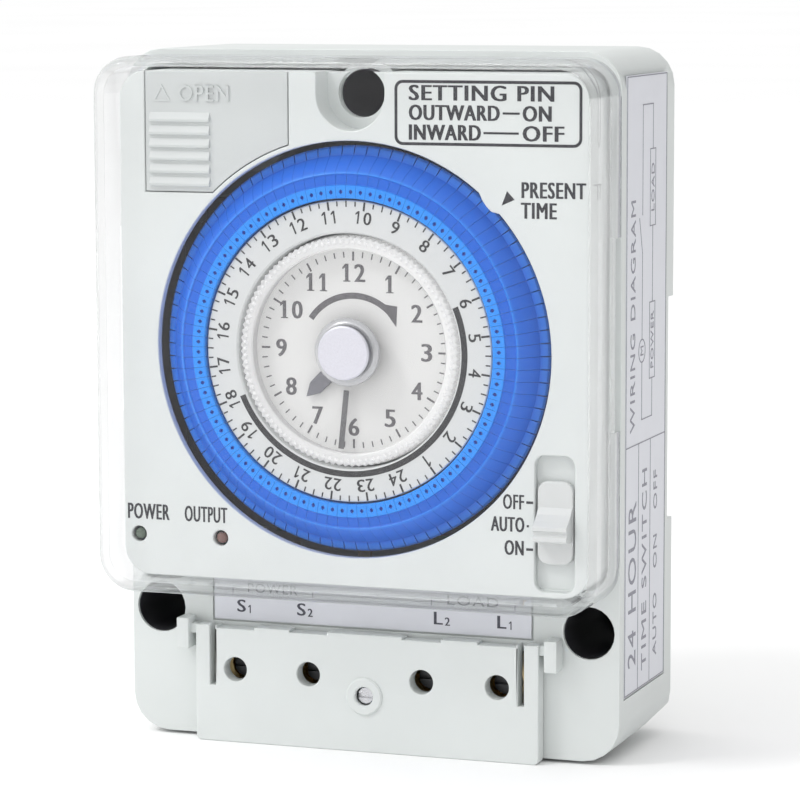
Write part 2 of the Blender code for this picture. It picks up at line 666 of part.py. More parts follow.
def rod_up(radius, x, y, low, high, steps=16):
    """A round rod that stands along Z."""
    mesh = bmesh.new()
    place = Matrix.Translation((x, y, (low + high) / 2))
    bmesh.ops.create_cone(
        mesh, cap_ends=True, segments=steps, radius1=radius, radius2=radius, depth=high - low, matrix=place
    )
    return mesh


# ---------------------------------------------------------------- dial
def tripper_profile(back):
    """Cross-section of a tripper in (radius, y): dot step, ridge, long slope, tip."""
    return [
        (TRIPPER_INNER_R, back),
        (TRIPPER_INNER_R, TRIPPER_FRONT_Y),
        (TRIPPER_INNER_R + 2.1, TRIPPER_FRONT_Y),
        (TRIPPER_INNER_R + 4.2, TRIPPER_FRONT_Y + 0.6),
        (TRIPPER_OUTER_R, TRIPPER_BACK_Y - 1.1),
        (TRIPPER_OUTER_R, back),
    ]


def tripper_mesh(number, back):
    """One tripper as a wedge between two radial planes, a little apart from the next."""
    mesh = bmesh.new()
    middle = 2 * pi * (number + 0.5) / TRIPPERS
    sides = []
    for side in (-1, 1):
        ring = []
        for radius, y in tripper_profile(back):
            angle = middle + side * (pi / TRIPPERS - HALF_SPLIT / radius)
            ring.append(mesh.verts.new((radius * cos(angle), y, DIAL_Z + radius * sin(angle))))
        sides.append(ring)
    count = len(sides[0])
    mesh.faces.new(sides[0])
    mesh.faces.new(sides[1][::-1])
    for index in range(count):
        after = (index + 1) % count
        mesh.faces.new((sides[0][index], sides[0][after], sides[1][after], sides[1][index]))
    return mesh


def make_trippers():
    """All but six trippers share one ring, and the six slide out singly."""
    profile = tripper_profile(TRIPPER_BACK_Y)
    count = len(profile)
    web = TRIPPER_BACK_Y + RING_WEB
    mesh = bmesh.new()
    starts, ends = [], []
    for number in range(TRIPPERS):
        for edge, keep in ((-1, starts), (1, ends)):
            middle = 2 * pi * (number + 0.5) / TRIPPERS
            ring = []
            for radius, y in profile:
                angle = middle + edge * (pi / TRIPPERS - HALF_SPLIT / radius)
                ring.append(mesh.verts.new((radius * cos(angle), y, DIAL_Z + radius * sin(angle))))
            if edge < 0:
                for radius in (TRIPPER_OUTER_R, TRIPPER_INNER_R):
                    angle = middle - pi / TRIPPERS
                    ring.append(mesh.verts.new((radius * cos(angle), web, DIAL_Z + radius * sin(angle))))
            keep.append(ring)
    outer, inner, outer_web, inner_web = count - 1, 0, count, count + 1
    for number in range(TRIPPERS):
        one, two = starts[number], ends[number]
        following = starts[(number + 1) % TRIPPERS]
        if number in LOOSE_TRIPPERS:
            mesh.faces.new((one[inner], one[outer], two[outer], two[inner]))
        else:
            for index in range(count - 1):
                mesh.faces.new((one[index], one[index + 1], two[index + 1], two[index]))
            mesh.faces.new(one[:count])
            mesh.faces.new(two[count - 1 :: -1])
        mesh.faces.new((two[inner], two[outer], following[outer], following[inner]))
        for edge, rim in ((outer, outer_web), (inner, inner_web)):
            mesh.faces.new((one[edge], one[rim], following[rim], following[edge], two[edge]))
        mesh.faces.new((one[outer_web], one[inner_web], following[inner_web], following[outer_web]))
    bmesh.ops.delete(mesh, geom=[vert for vert in mesh.verts if not vert.link_faces], context="VERTS")
    solid("tripper_ring", mesh, "blue", (0.0, TRIPPER_BACK_Y, DIAL_Z))

    for order, number in enumerate(LOOSE_TRIPPERS, 1):
        angle = 360.0 * (number + 0.5) / TRIPPERS
        x, z = at(angle, TRIPPER_INNER_R)
        wedge = tripper_mesh(number, TRIPPER_BACK_Y - GAP)
        solid(f"tripper_{order}", wedge, "blue", (x, TRIPPER_BACK_Y, z))


def make_dial():
    centre = (0.0, DAY_WEB_Y, DIAL_Z)
    hub_r = STEM_OUTER_R + GAP
    web_back = DAY_WEB_Y + 1.2
    flange_front = TRIPPER_BACK_Y + RING_WEB + GAP
    flange_back = flange_front + 0.9
    drum_inner = DAY_RING_INNER_R
    profile = [
        (hub_r, DAY_WEB_Y),
        (drum_inner, DAY_WEB_Y),
        (drum_inner, DAY_RING_Y),
        (DAY_RING_OUTER_R, DAY_RING_Y),
        (DAY_RING_OUTER_R, flange_front),
        (DAY_FLANGE_R, flange_front),
        (DAY_FLANGE_R, flange_back),
        (DAY_RING_OUTER_R - 1.2, flange_back),
        (DAY_RING_OUTER_R - 1.2, DAY_RING_Y + 1.2),
        (drum_inner + 1.2, DAY_RING_Y + 1.2),
        (drum_inner + 1.2, web_back),
        (hub_r + 2.4, web_back),
        (hub_r + 2.4, DIAL_GEAR_Y - GAP),
        (hub_r, DIAL_GEAR_Y - GAP),
    ]
    solid("day_dial", turned(profile, steps=48), "white", centre)

    teeth = gear(27, 0.0, DIAL_Z, start=meshing_start(27, DRIVE_ANGLE))
    pinion = prism(teeth, DIAL_GEAR_Y, DIAL_GEAR_Y + 2)
    dial_gear = solid("dial_gear", pinion, "acetal", (0.0, DIAL_GEAR_Y, DIAL_Z))
    cut(dial_gear, solid("dial_gear_bore", rod(hub_r, DIAL_GEAR_Y - 1, DIAL_GEAR_Y + 3, steps=32)))

    solid("clock_face", tube(STEM_OUTER_R + GAP, FACE_R, FACE_Y, FACE_Y + FACE_THICK), "white")


def make_hands():
    """The short hour hand, and the clear disc that carries the minute line and the knob."""
    hub = tube(HOUR_PIPE_OUTER_R + GAP, 3.4, HAND_Y, HAND_Y + HAND_THICK, steps=24)
    hand = solid("hour_hand", hub, "dark", (0.0, HAND_Y, DIAL_Z))
    tail, tip = 3.0, 10.2
    along = Vector((cos(radians(HOUR_HAND_ANGLE)), sin(radians(HOUR_HAND_ANGLE))))
    across = Vector((-along.y, along.x))
    base = Vector((0.0, DIAL_Z))
    corners = (
        base + along * tail - across * 1.5,
        base + along * (tip - 2.0) - across * 0.75,
        base + along * tip,
        base + along * (tip - 2.0) + across * 0.75,
        base + along * tail + across * 1.5,
    )
    blade = prism([tuple(corner) for corner in corners], HAND_Y, HAND_Y + HAND_THICK)
    join(hand, solid("hour_hand_blade", blade))

    # Clear disc with a knurled rim that reaches back round the clock face.
    flutes = 48
    outline = []
    for flute in range(flutes * 2):
        radius = MINUTE_DISC_R if flute % 2 else MINUTE_DISC_R - 0.45
        angle = pi * flute / flutes
        outline.append((radius * cos(angle), DIAL_Z + radius * sin(angle)))
    blank = prism(outline, MINUTE_DISC_Y, MINUTE_DISC_Y + MINUTE_DISC_RIM)
    disc = solid("minute_disc", blank, "clear", (0.0, MINUTE_DISC_Y, DIAL_Z))
    under = rod(FACE_R + GAP, MINUTE_DISC_Y + 0.9, MINUTE_DISC_Y + 4, steps=40)
    bore = rod(ARBOR_R + GAP, MINUTE_DISC_Y - 1, MINUTE_DISC_Y + 4, steps=16)
    cut(disc, solid("disc_hollow", under), solid("disc_bore", bore))

    neck = MINUTE_DISC_Y - GAP
    profile = [
        (0.0, KNOB_Y),
        (KNOB_R - 0.5, KNOB_Y),
        (KNOB_R, KNOB_Y + 0.4),
        (KNOB_R, KNOB_Y + 1.2),
        (KNOB_SKIRT_R, KNOB_Y + 1.5),
        (KNOB_SKIRT_R, neck),
        (ARBOR_R + GAP, neck),
        (ARBOR_R + GAP, KNOB_Y + KNOB_BORE_DEPTH),
        (0.0, KNOB_Y + KNOB_BORE_DEPTH),
    ]
    solid("set_knob", turned(profile, steps=24), "steel", (0.0, KNOB_Y, DIAL_Z))


# ---------------------------------------------------------------- movement
def make_plates():
    outline = rounded(-PLATE_HALF_WIDTH, PLATE_HALF_WIDTH, PLATE_LOW, PLATE_HIGH, 2.0, 3)
    back = FRONT_PLATE_Y + PLATE_THICK
    plate = solid("movement_front_plate", prism(outline, FRONT_PLATE_Y, back), "acetal")
    lug = box(LEVER_X - 4, PLATE_HALF_WIDTH, FRONT_PLATE_Y, back, PLATE_HIGH - 1, LEVER_Z + 3)
    stem = rod(STEM_OUTER_R, FACE_Y + 0.4, FRONT_PLATE_Y + 0.5, steps=24)
    collar = rod(STEM_OUTER_R + 1.6, FACE_Y + FACE_THICK + GAP, DAY_WEB_Y - GAP, steps=20)
    pin = rod(LEVER_PIN_R, LEVER_Y - 0.1, FRONT_PLATE_Y + 0.5, LEVER_X, LEVER_Z, 16)
    join(plate, solid("plate_lug", lug), solid("stem", stem))
    join(plate, solid("stem_collar", collar), solid("lever_pin", pin))
    cut(plate, solid("stem_bore", rod(STEM_INNER_R, FACE_Y - 1, FRONT_PLATE_Y + 3, steps=20)))
    x, z = at(DRIVE_ANGLE, DRIVE_REACH)
    cut(plate, solid("drive_arbor_hole", rod(1.3, FRONT_PLATE_Y - 1, FRONT_PLATE_Y + 3, x, z, 16)))
    x, z = at(MINUTE_ANGLE, TRAIN_REACH)
    cut(plate, solid("minute_arbor_hole", rod(1.0, FRONT_PLATE_Y - 1, FRONT_PLATE_Y + 3, x, z, 16)))
    for number, (x, z) in enumerate(PLATE_POSTS):
        hole = rod(1.5, FRONT_PLATE_Y - 1, FRONT_PLATE_Y + 3, x, z, 12)
        cut(plate, solid(f"plate_hole_{number}", hole))
        if number in (0, 3):
            screw(f"plate_screw_{number // 3 + 1}", x, z, FRONT_PLATE_Y - 1.5, 2.2, 1.2, 1.1, 6.0)

    # The back plate stands on three pillars of its own, and the motor's can hangs behind it.
    back = rod(26.0, BACK_PLATE_Y, BACK_PLATE_Y + PLATE_THICK, steps=32)
    plate = solid("movement_back_plate", back, "acetal")
    for number, angle in enumerate((50.0, 150.0, 290.0)):
        x, z = at(angle, 24.0)
        pillar = rod(1.9, FRONT_PLATE_Y + PLATE_THICK + GAP, BACK_PLATE_Y + 0.5, x, z, 10)
        join(plate, solid(f"pillar_{number}", pillar))
    holes = (
        (0.0, DIAL_Z, ARBOR_R + GAP),
        (*at(MOTOR_ANGLE, TRAIN_REACH), 3.9),
        (*at(MINUTE_ANGLE, TRAIN_REACH), 1.0),
        (*at(DRIVE_ANGLE, DRIVE_REACH), 1.3),
    )
    for number, (x, z, radius) in enumerate(holes):
        hole = rod(radius, BACK_PLATE_Y - 1, BACK_PLATE_Y + 3, x, z, 16)
        cut(plate, solid(f"back_plate_hole_{number}", hole))


def make_train():
    # Centre arbor from the knob to the back plate, with the motor-driven wheel on it.
    arbor = rod(ARBOR_R, KNOB_Y + KNOB_BORE_DEPTH + GAP, BACK_PLATE_Y + PLATE_THICK, steps=16)
    solid("centre_arbor", arbor, "steel", (0.0, CENTRE_WHEEL_Y, DIAL_Z))
    teeth = gear(36, 0.0, DIAL_Z, start=meshing_start(36, MOTOR_ANGLE))
    blank = prism(teeth, CENTRE_WHEEL_Y, CENTRE_WHEEL_Y + WHEEL_THICK)
    wheel = solid("centre_wheel", blank, "acetal", (0.0, CENTRE_WHEEL_Y, DIAL_Z))
    teeth = gear(10, 0.0, DIAL_Z, SMALL_MODULE, meshing_start(10, MINUTE_ANGLE))
    cannon = prism(teeth, MINUTE_WHEEL_Y - 0.4, CENTRE_WHEEL_Y + 0.6)
    join(wheel, solid("cannon_pinion", cannon))
    bore = rod(ARBOR_R + GAP, MINUTE_WHEEL_Y - 2, CENTRE_WHEEL_Y + 3, steps=16)
    cut(wheel, solid("centre_wheel_bore", bore))

    # Minute wheel: forty teeth behind, a pinion of twelve in front.
    x, z = at(MINUTE_ANGLE, TRAIN_REACH)
    teeth = gear(40, x, z, SMALL_MODULE, MINUTE_ANGLE + 180.0)
    blank = prism(teeth, MINUTE_WHEEL_Y, MINUTE_WHEEL_Y + WHEEL_THICK)
    wheel = solid("minute_wheel", blank, "acetal", (x, MINUTE_WHEEL_Y, z))
    pinion = prism(gear(12, x, z, start=MINUTE_ANGLE + 180.0), HOUR_WHEEL_Y - 0.2, MINUTE_WHEEL_Y + 0.5)
    pivots = rod(0.7, FRONT_PLATE_Y, BACK_PLATE_Y + PLATE_THICK, x, z, 12)
    join(wheel, solid("minute_pinion", pinion), solid("minute_arbor", pivots))

    # Hour wheel: thirty-six teeth, a pinion of eighteen for the dial, and the hand's pipe.
    teeth = gear(36, 0.0, DIAL_Z, start=meshing_start(36, MINUTE_ANGLE))
    blank = prism(teeth, HOUR_WHEEL_Y, HOUR_WHEEL_Y + 1.0)
    wheel = solid("hour_wheel", blank, "acetal", (0.0, HOUR_WHEEL_Y, DIAL_Z))
    teeth = gear(18, 0.0, DIAL_Z, start=meshing_start(18, DRIVE_ANGLE))
    pinion = prism(teeth, HOUR_WHEEL_Y + 0.5, DRIVE_WHEEL_Y + 1.6)
    pipe = rod(HOUR_PIPE_OUTER_R, HAND_Y, HOUR_WHEEL_Y + 0.5, steps=24)
    join(wheel, solid("hour_pinion", pinion), solid("hour_pipe", pipe))
    bore = rod(HOUR_PIPE_INNER_R, HAND_Y - 1, DRIVE_WHEEL_Y + 4, steps=16)
    cut(wheel, solid("hour_pipe_bore", bore))

    # Dial drive: thirty-six teeth behind the front plate, twenty-seven in front of it.
    x, z = at(DRIVE_ANGLE, DRIVE_REACH)
    teeth = gear(36, x, z, start=DRIVE_ANGLE + 180.0)
    blank = prism(teeth, DRIVE_WHEEL_Y, DRIVE_WHEEL_Y + WHEEL_THICK)
    wheel = solid("dial_drive_wheel", blank, "acetal", (x, DRIVE_WHEEL_Y, z))
    arbor = rod(1.0, DIAL_GEAR_Y - 0.1, BACK_PLATE_Y + PLATE_THICK, x, z, 16)
    join(wheel, solid("dial_drive_arbor", arbor))
    pinion = prism(gear(27, x, z, start=DRIVE_ANGLE + 180.0), DIAL_GEAR_Y, DIAL_GEAR_Y + 2)
    pinion = solid("dial_drive_pinion", pinion, "acetal", (x, DIAL_GEAR_Y, z))
    cut(pinion, solid("drive_pinion_bore", rod(1.0 + GAP, DIAL_GEAR_Y - 1, DIAL_GEAR_Y + 3, x, z, 16)))


def make_motor():
    """A small stepping motor: an open can, a wound coil and a magnet rotor with its pinion."""
    x, z = at(MOTOR_ANGLE, TRAIN_REACH)
    front = BACK_PLATE_Y + PLATE_THICK + GAP
    can = turned(
        [
            (1.0, MOTOR_BACK_Y - MOTOR_SHEET),
            (MOTOR_R - MOTOR_SHEET, MOTOR_BACK_Y - MOTOR_SHEET),
            (MOTOR_R - MOTOR_SHEET, front),
            (MOTOR_R, front),
            (MOTOR_R, MOTOR_BACK_Y),
            (1.0, MOTOR_BACK_Y),
        ],
        x,
        z,
    )
    solid("motor_can", can, "steel")
    outer, back = MOTOR_R - MOTOR_SHEET - GAP, MOTOR_BACK_Y - MOTOR_SHEET - GAP
    coil = tube(6.4, outer, front + 0.5, back, x, z, 28)
    solid("motor_coil", coil, "copper")
    magnet = rod(5.8, front + 0.6, MOTOR_BACK_Y - 1.5, x, z, 24)
    rotor = solid("motor_rotor", magnet, "dark", (x, front, z))
    pinion = prism(gear(12, x, z, start=MOTOR_ANGLE + 180.0), CENTRE_WHEEL_Y - 0.3, BACK_PLATE_Y + 0.4)
    arbor = rod(0.7, CENTRE_WHEEL_Y - 1.0, MOTOR_BACK_Y, x, z, 12)
    join(rotor, solid("motor_pinion", pinion), solid("motor_arbor", arbor))


# ---------------------------------------------------------------- switching
def make_switch():
    """The follower lever on the index, and the microswitch that it presses."""
    nose_x, nose_z = at(INDEX_ANGLE, TRIPPER_OUTER_R + GAP + NOSE_R)
    hub = rod(2.4, LEVER_Y, LEVER_Y + LEVER_THICK, LEVER_X, LEVER_Z, 20)
    lever = solid("follower_lever", hub, "acetal", (LEVER_X, LEVER_Y, LEVER_Z))
    length = hypot(nose_x - LEVER_X, nose_z - LEVER_Z)
    across_x, across_z = (LEVER_Z - nose_z) / length, (nose_x - LEVER_X) / length
    arm = [
        (LEVER_X - 1.3 * across_x, LEVER_Z - 1.3 * across_z),
        (nose_x - NOSE_R * across_x, nose_z - NOSE_R * across_z),
        (nose_x + NOSE_R * across_x, nose_z + NOSE_R * across_z),
        (LEVER_X + 1.3 * across_x, LEVER_Z + 1.3 * across_z),
    ]
    heel_x = MICRO_LEFT - PLUNGER_PROUD - GAP
    back = LEVER_Y + LEVER_THICK
    heel = box(LEVER_X + 2.8, heel_x, LEVER_Y, back, PLUNGER_Z - 1.2, PLUNGER_Z + 1.2)
    join(
        lever,
        solid("lever_arm", prism(arm, LEVER_Y, LEVER_Y + LEVER_THICK)),
        solid("lever_nose", rod(NOSE_R, LEVER_Y, LEVER_Y + LEVER_THICK, nose_x, nose_z, 16)),
        solid("lever_heel", heel),
    )
    bore = rod(LEVER_PIN_R + GAP, LEVER_Y - 1, LEVER_Y + 3, LEVER_X, LEVER_Z, 16)
    cut(lever, solid("lever_bore", bore))

    right = MICRO_LEFT + 8.8
    front = PANEL_BACK_Y + GAP
    case = box(MICRO_LEFT, right, front, FRONT_PLATE_Y - GAP, MICRO_LOW, MICRO_HIGH)
    body = solid("microswitch", case, "dark")
    depth = (LEVER_Y + LEVER_THICK / 2) + 0.3
    half = PLUNGER_HALF + GAP
    low, high = PLUNGER_Z - half, PLUNGER_Z + half
    well = box(MICRO_LEFT - 1, MICRO_LEFT + PLUNGER_WELL, depth - half, depth + half, low, high)
    cut(body, solid("plunger_well", well))
    button = box(
        MICRO_LEFT - PLUNGER_PROUD,
        MICRO_LEFT + PLUNGER_WELL - GAP - PLUNGER_TRAVEL,
        depth - PLUNGER_HALF,
        depth + PLUNGER_HALF,
        PLUNGER_Z - PLUNGER_HALF,
        PLUNGER_Z + PLUNGER_HALF,
    )
    solid("switch_plunger", button, "red_lamp", (MICRO_LEFT, depth, PLUNGER_Z))


def make_mode_switch():
    """The OFF, AUTO, ON slider, whose stem moves the contact block behind it."""
    left, right = SLOT_LEFT + SLIDER_SIDE_PLAY, SLOT_RIGHT - SLIDER_SIDE_PLAY
    half = SLIDER_LENGTH / 2
    outline = rounded(left, right, SLIDER_Z - half, SLIDER_Z + half, 1.3, 4)
    origin = ((left + right) / 2, PANEL_Y, SLIDER_Z)
    blank = prism(outline, PANEL_Y + GAP, SLOT_FLOOR_Y - GAP)
    slider = solid("mode_slider", blank, "white", origin)
    ridge = box(left + 0.4, right - 0.4, PANEL_Y - 1.8, PANEL_Y + 0.6, SLIDER_Z - 0.9, SLIDER_Z + 0.7)
    ramp = box(left + 0.3, right - 0.3, PANEL_Y - 0.6, PANEL_Y + 0.5, SLIDER_Z + 0.4, SLIDER_Z + 2.2)
    middle = (SLOT_LEFT + SLOT_RIGHT) / 2
    low, high = SLIDER_Z - STEM_HALF, SLIDER_Z + STEM_HALF
    stem_end = MODE_BLOCK_Y + STEM_BITE
    stem = box(middle - STEM_HALF, middle + STEM_HALF, PANEL_Y + 0.6, stem_end, low, high)
    join(slider, solid("slider_ridge", ridge), solid("slider_ramp", ramp), solid("slider_stem", stem))

    case = box(SLOT_LEFT - 0.2, SLOT_RIGHT + 0.1, MODE_BLOCK_Y, FRONT_PLATE_Y - GAP, PANEL_LOW + 2.9, -5.2)
    block = solid("mode_switch", case, "dark")
    reach = STEM_HALF + SLIDER_TRAVEL + GAP
    well = box(
        middle - STEM_HALF - GAP,
        middle + STEM_HALF + GAP,
        MODE_BLOCK_Y - 1,
        stem_end + GAP,
        SLIDER_Z - reach,
        SLIDER_Z + reach,
    )
    cut(block, solid("mode_well", well))


def make_electronics():
    board = box(-BOARD_HALF_WIDTH, BOARD_HALF_WIDTH, BOARD_Y, BOARD_Y + BOARD_THICK, -22.5, 33.0)
    solid("circuit_board", board, "board")
    capacitor = box(-22.0, -4.5, BOARD_Y - GAP - 7.0, BOARD_Y - GAP, -20.5, -13.5)
    solid("dropper_capacitor", capacitor, "copper")
    left, right = LAMP_X["power"] - 0.7, LAMP_X["output"] + 3.7
    lamp_board = box(left, right, LAMP_BOARD_Y, LAMP_BOARD_Y + 1.2, PANEL_LOW + 3.6, LAMP_Z + 0.9)
    solid("lamp_board", lamp_board, "board")
    for name, x in LAMP_X.items():
        top = PANEL_Y + 0.1
        profile = [
            (0.0, top),
            (LAMP_R * 0.6, top + 0.15),
            (LAMP_R, top + 0.7),
            (LAMP_R, LAMP_BOARD_Y - GAP),
            (0.0, LAMP_BOARD_Y - GAP),
        ]
        colour = "green_lamp" if name == "power" else "red_lamp"
        solid(f"{name}_lamp", turned(profile, x, LAMP_Z, 16), colour)

    battery = turned(
        [
            (0.0, BATTERY_FRONT_Y),
            (3.0, BATTERY_FRONT_Y),
            (3.0, BATTERY_FRONT_Y + 0.8),
            (BATTERY_R, BATTERY_FRONT_Y + 0.8),
            (BATTERY_R, BATTERY_BACK_Y),
            (0.0, BATTERY_BACK_Y),
        ],
        BATTERY_X,
        BATTERY_Z,
        28,
    )
    solid("backup_battery", battery, "battery", (BATTERY_X, BATTERY_FRONT_Y, BATTERY_Z))
    cup_back = CAVITY_BACK_Y - GAP
    cup = turned(
        [
            (2.0, BATTERY_BACK_Y + GAP),
            (BATTERY_R + GAP, BATTERY_BACK_Y + GAP),
            (BATTERY_R + GAP, BATTERY_BACK_Y - 8.0),
            (BATTERY_R + 1.2, BATTERY_BACK_Y - 8.0),
            (BATTERY_R + 1.2, cup_back),
            (2.0, cup_back),
        ],
        BATTERY_X,
        BATTERY_Z,
        28,
    )
    solid("battery_cup", cup, "white")


# ---------------------------------------------------------------- whole object
def make_case_screws():
    for number, (x, z) in enumerate(PANEL_POSTS, 1):
        name = f"case_screw_{number}"
        # These are driven from the back, so the profile runs the other way along Y.
        head_y = BACK_Y - 0.3
        seat = head_y - 1.5
        profile = [
            (0.0, seat - 8.5),
            (1.15, seat - 8.5),
            (1.15, seat),
            (2.3, seat),
            (2.1, head_y),
            (0.0, head_y),
        ]
        made = solid(name, turned(profile, x, z, 12), "steel", (x, head_y, z))
        slot = box(x - 4, x + 4, head_y - 0.7, head_y + 1, z - 0.35, z + 0.35)
        cut(made, solid(name + "_slot", slot))


def build():
    for thing in list(bpy.data.objects):
        bpy.data.objects.remove(thing)
    make_housing()
    make_labels()
    make_rail_clip()
    make_panel()
    make_battery_door()
    make_cover()
    make_terminal_cover()
    make_terminals()
    make_dial()
    make_trippers()
    make_hands()
    make_plates()
    make_train()
    make_motor()
    make_switch()
    make_mode_switch()
    make_electronics()
    make_case_screws()


build()
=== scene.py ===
"""Looks of a twenty-four hour mechanical time switch for a DIN rail.

The frame is the CAD's: +X to the right and +Z up as the user faces the dial, -Y towards the user.
Meshes are worked out in millimetres, and show() turns them into metres.
"""

from math import cos, pi, radians, sin, sqrt

import bmesh
import bpy
from mathutils import Matrix, Vector


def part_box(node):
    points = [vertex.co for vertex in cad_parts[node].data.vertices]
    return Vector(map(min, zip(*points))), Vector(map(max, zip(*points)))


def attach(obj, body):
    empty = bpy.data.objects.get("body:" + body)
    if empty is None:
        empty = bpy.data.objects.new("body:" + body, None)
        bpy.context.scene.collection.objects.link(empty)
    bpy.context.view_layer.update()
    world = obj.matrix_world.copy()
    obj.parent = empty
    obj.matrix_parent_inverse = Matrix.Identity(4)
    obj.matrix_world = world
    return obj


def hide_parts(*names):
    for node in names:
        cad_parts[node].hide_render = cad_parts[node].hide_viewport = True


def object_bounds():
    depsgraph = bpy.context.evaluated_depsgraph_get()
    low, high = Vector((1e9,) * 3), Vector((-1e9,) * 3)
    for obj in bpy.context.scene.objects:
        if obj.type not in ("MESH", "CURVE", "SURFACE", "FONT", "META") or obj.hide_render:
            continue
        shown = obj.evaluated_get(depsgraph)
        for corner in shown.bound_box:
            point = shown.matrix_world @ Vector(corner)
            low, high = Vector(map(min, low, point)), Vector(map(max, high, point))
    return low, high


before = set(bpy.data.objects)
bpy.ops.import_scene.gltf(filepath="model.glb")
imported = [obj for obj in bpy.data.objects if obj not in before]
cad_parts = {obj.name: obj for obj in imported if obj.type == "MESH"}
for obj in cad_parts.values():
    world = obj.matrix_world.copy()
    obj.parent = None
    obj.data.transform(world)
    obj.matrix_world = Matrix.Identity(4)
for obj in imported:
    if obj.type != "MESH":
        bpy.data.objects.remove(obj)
cad_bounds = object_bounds()


# ------------------------------------------------------------------ rear casing
# The deep rear half of the case, one moulding in light grey ABS. Its lower deck carries the terminals
# and the two lower fixing holes, and its back has the channel for the rail. The mould leaves a fine
# satin grain, and the outer rims of the deck and of the back are rounded off.
MM = 0.001
CASING_RIM = 0.45
SHARP = radians(50)
ABS_GREY = (0.69, 0.72, 0.71)


def graded(nodes, link, value, stops):
    """Colours picked by a value, from stops of (position, (red, green, blue))."""
    ramp = nodes.new("ShaderNodeValToRGB")
    scale = ramp.color_ramp.elements
    while len(scale) < len(stops):
        scale.new(0.5)
    for element, (position, colour) in zip(scale, stops):
        element.position = position
        element.color = (*colour, 1.0)
    link(value, ramp.inputs["Fac"])
    return ramp.outputs["Color"]


def noise(nodes, link, place, size, detail=3.0):
    """Noise whose patches are about `size` millimetres across."""
    texture = nodes.new("ShaderNodeTexNoise")
    texture.inputs["Scale"].default_value = 1 / (size * MM)
    texture.inputs["Detail"].default_value = detail
    link(place, texture.inputs["Vector"])
    return texture.outputs["Fac"]


def between(nodes, link, value, low, high):
    """A value from 0 to 1 stretched to run from low to high."""
    stretch = nodes.new("ShaderNodeMapRange")
    stretch.inputs["To Min"].default_value = low
    stretch.inputs["To Max"].default_value = high
    link(value, stretch.inputs["Value"])
    return stretch.outputs["Result"]


def grained(nodes, link, shader, height, strength, depth):
    bump = nodes.new("ShaderNodeBump")
    bump.inputs["Strength"].default_value = strength
    bump.inputs["Distance"].default_value = depth * MM
    link(height, bump.inputs["Height"])
    link(bump.outputs["Normal"], shader.inputs["Normal"])


def new_finish(name):
    made = bpy.data.materials.new(name)
    made.use_nodes = True
    nodes = made.node_tree.nodes
    shader = nodes["Principled BSDF"]
    place = nodes.new("ShaderNodeTexCoord").outputs["Object"]
    return made, nodes, made.node_tree.links.new, shader, place


def moulded_plastic(name, colour, roughness, mottle=0.02, grain=0.25, grain_size=0.35):
    """Injection-moulded plastic: faint flow shades, a satin grain and uneven gloss."""
    made, nodes, link, shader, place = new_finish(name)
    darker = tuple(share * (1 - mottle) for share in colour)
    lighter = tuple(min(1.0, share * (1 + mottle)) for share in colour)
    flow = noise(nodes, link, place, 18.0)
    link(graded(nodes, link, flow, ((0.35, darker), (0.65, lighter))), shader.inputs["Base Color"])
    fine = noise(nodes, link, place, grain_size, 2.0)
    link(between(nodes, link, fine, roughness - 0.06, roughness + 0.06), shader.inputs["Roughness"])
    grained(nodes, link, shader, fine, grain, 0.02)
    return made


def show(name, mesh, finishes, body, replaced=(), crease=35.0):
    """Put a millimetre mesh in the scene as a piece that moves with a body."""
    bmesh.ops.scale(mesh, vec=(MM, MM, MM), verts=mesh.verts)
    data = bpy.data.meshes.new(name)
    mesh.to_mesh(data)
    mesh.free()
    for finish in finishes:
        data.materials.append(finish)
    data.shade_smooth()
    data.set_sharp_from_angle(angle=radians(crease))
    piece = bpy.data.objects.new(name, data)
    bpy.context.scene.collection.objects.link(piece)
    evened = piece.modifiers.new("even_shading", "WEIGHTED_NORMAL")
    evened.keep_sharp = True
    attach(piece, body)
    if replaced:
        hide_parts(*replaced)
    return piece


def round_edges(mesh, edges, radius, segments=2, clamp=False):
    bmesh.ops.bevel(
        mesh,
        geom=edges,
        offset=radius,
        segments=segments,
        profile=0.5,
        affect="EDGES",
        material=-1,
        clamp_overlap=clamp,
    )


def refinish(node, finish):
    """Give a CAD node that stays as it is a finish of its own."""
    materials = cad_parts[node].data.materials
    materials.clear()
    materials.append(finish)


def cad_copy(node):
    """A copy of a CAD node in millimetres, its triangles merged and its flats made whole."""
    mesh = bmesh.new()
    mesh.from_mesh(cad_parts[node].data)
    bmesh.ops.scale(mesh, vec=(1 / MM,) * 3, verts=mesh.verts)
    bmesh.ops.remove_doubles(mesh, verts=mesh.verts, dist=0.002)
    bmesh.ops.dissolve_limit(
        mesh,
        angle_limit=radians(1),
        verts=mesh.verts,
        edges=mesh.edges,
        use_dissolve_boundaries=False,
        delimit=set(),
    )
    return mesh


def span(node):
    """The lowest and highest corner of a CAD node, in millimetres."""
    low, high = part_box(node)
    return low / MM, high / MM


grey_abs = moulded_plastic("grey_abs", ABS_GREY, 0.42)
casing_high = span("rear_housing")[1]
BODY_X = casing_high.x
BACK_Y = casing_high.y
DECK_Y = span("terminal_label")[0].y

casing = cad_copy("rear_housing")
rims = []
for edge in casing.edges:
    if not edge.is_manifold or edge.calc_face_angle_signed() < SHARP:
        continue
    for depth in (DECK_Y, BACK_Y):
        if all(abs(vert.co.y - depth) < 0.01 for vert in edge.verts):
            rims.append(edge)
round_edges(casing, rims, CASING_RIM, 3, clamp=True)
show("casing", casing, [grey_abs], "case", ("rear_housing",))


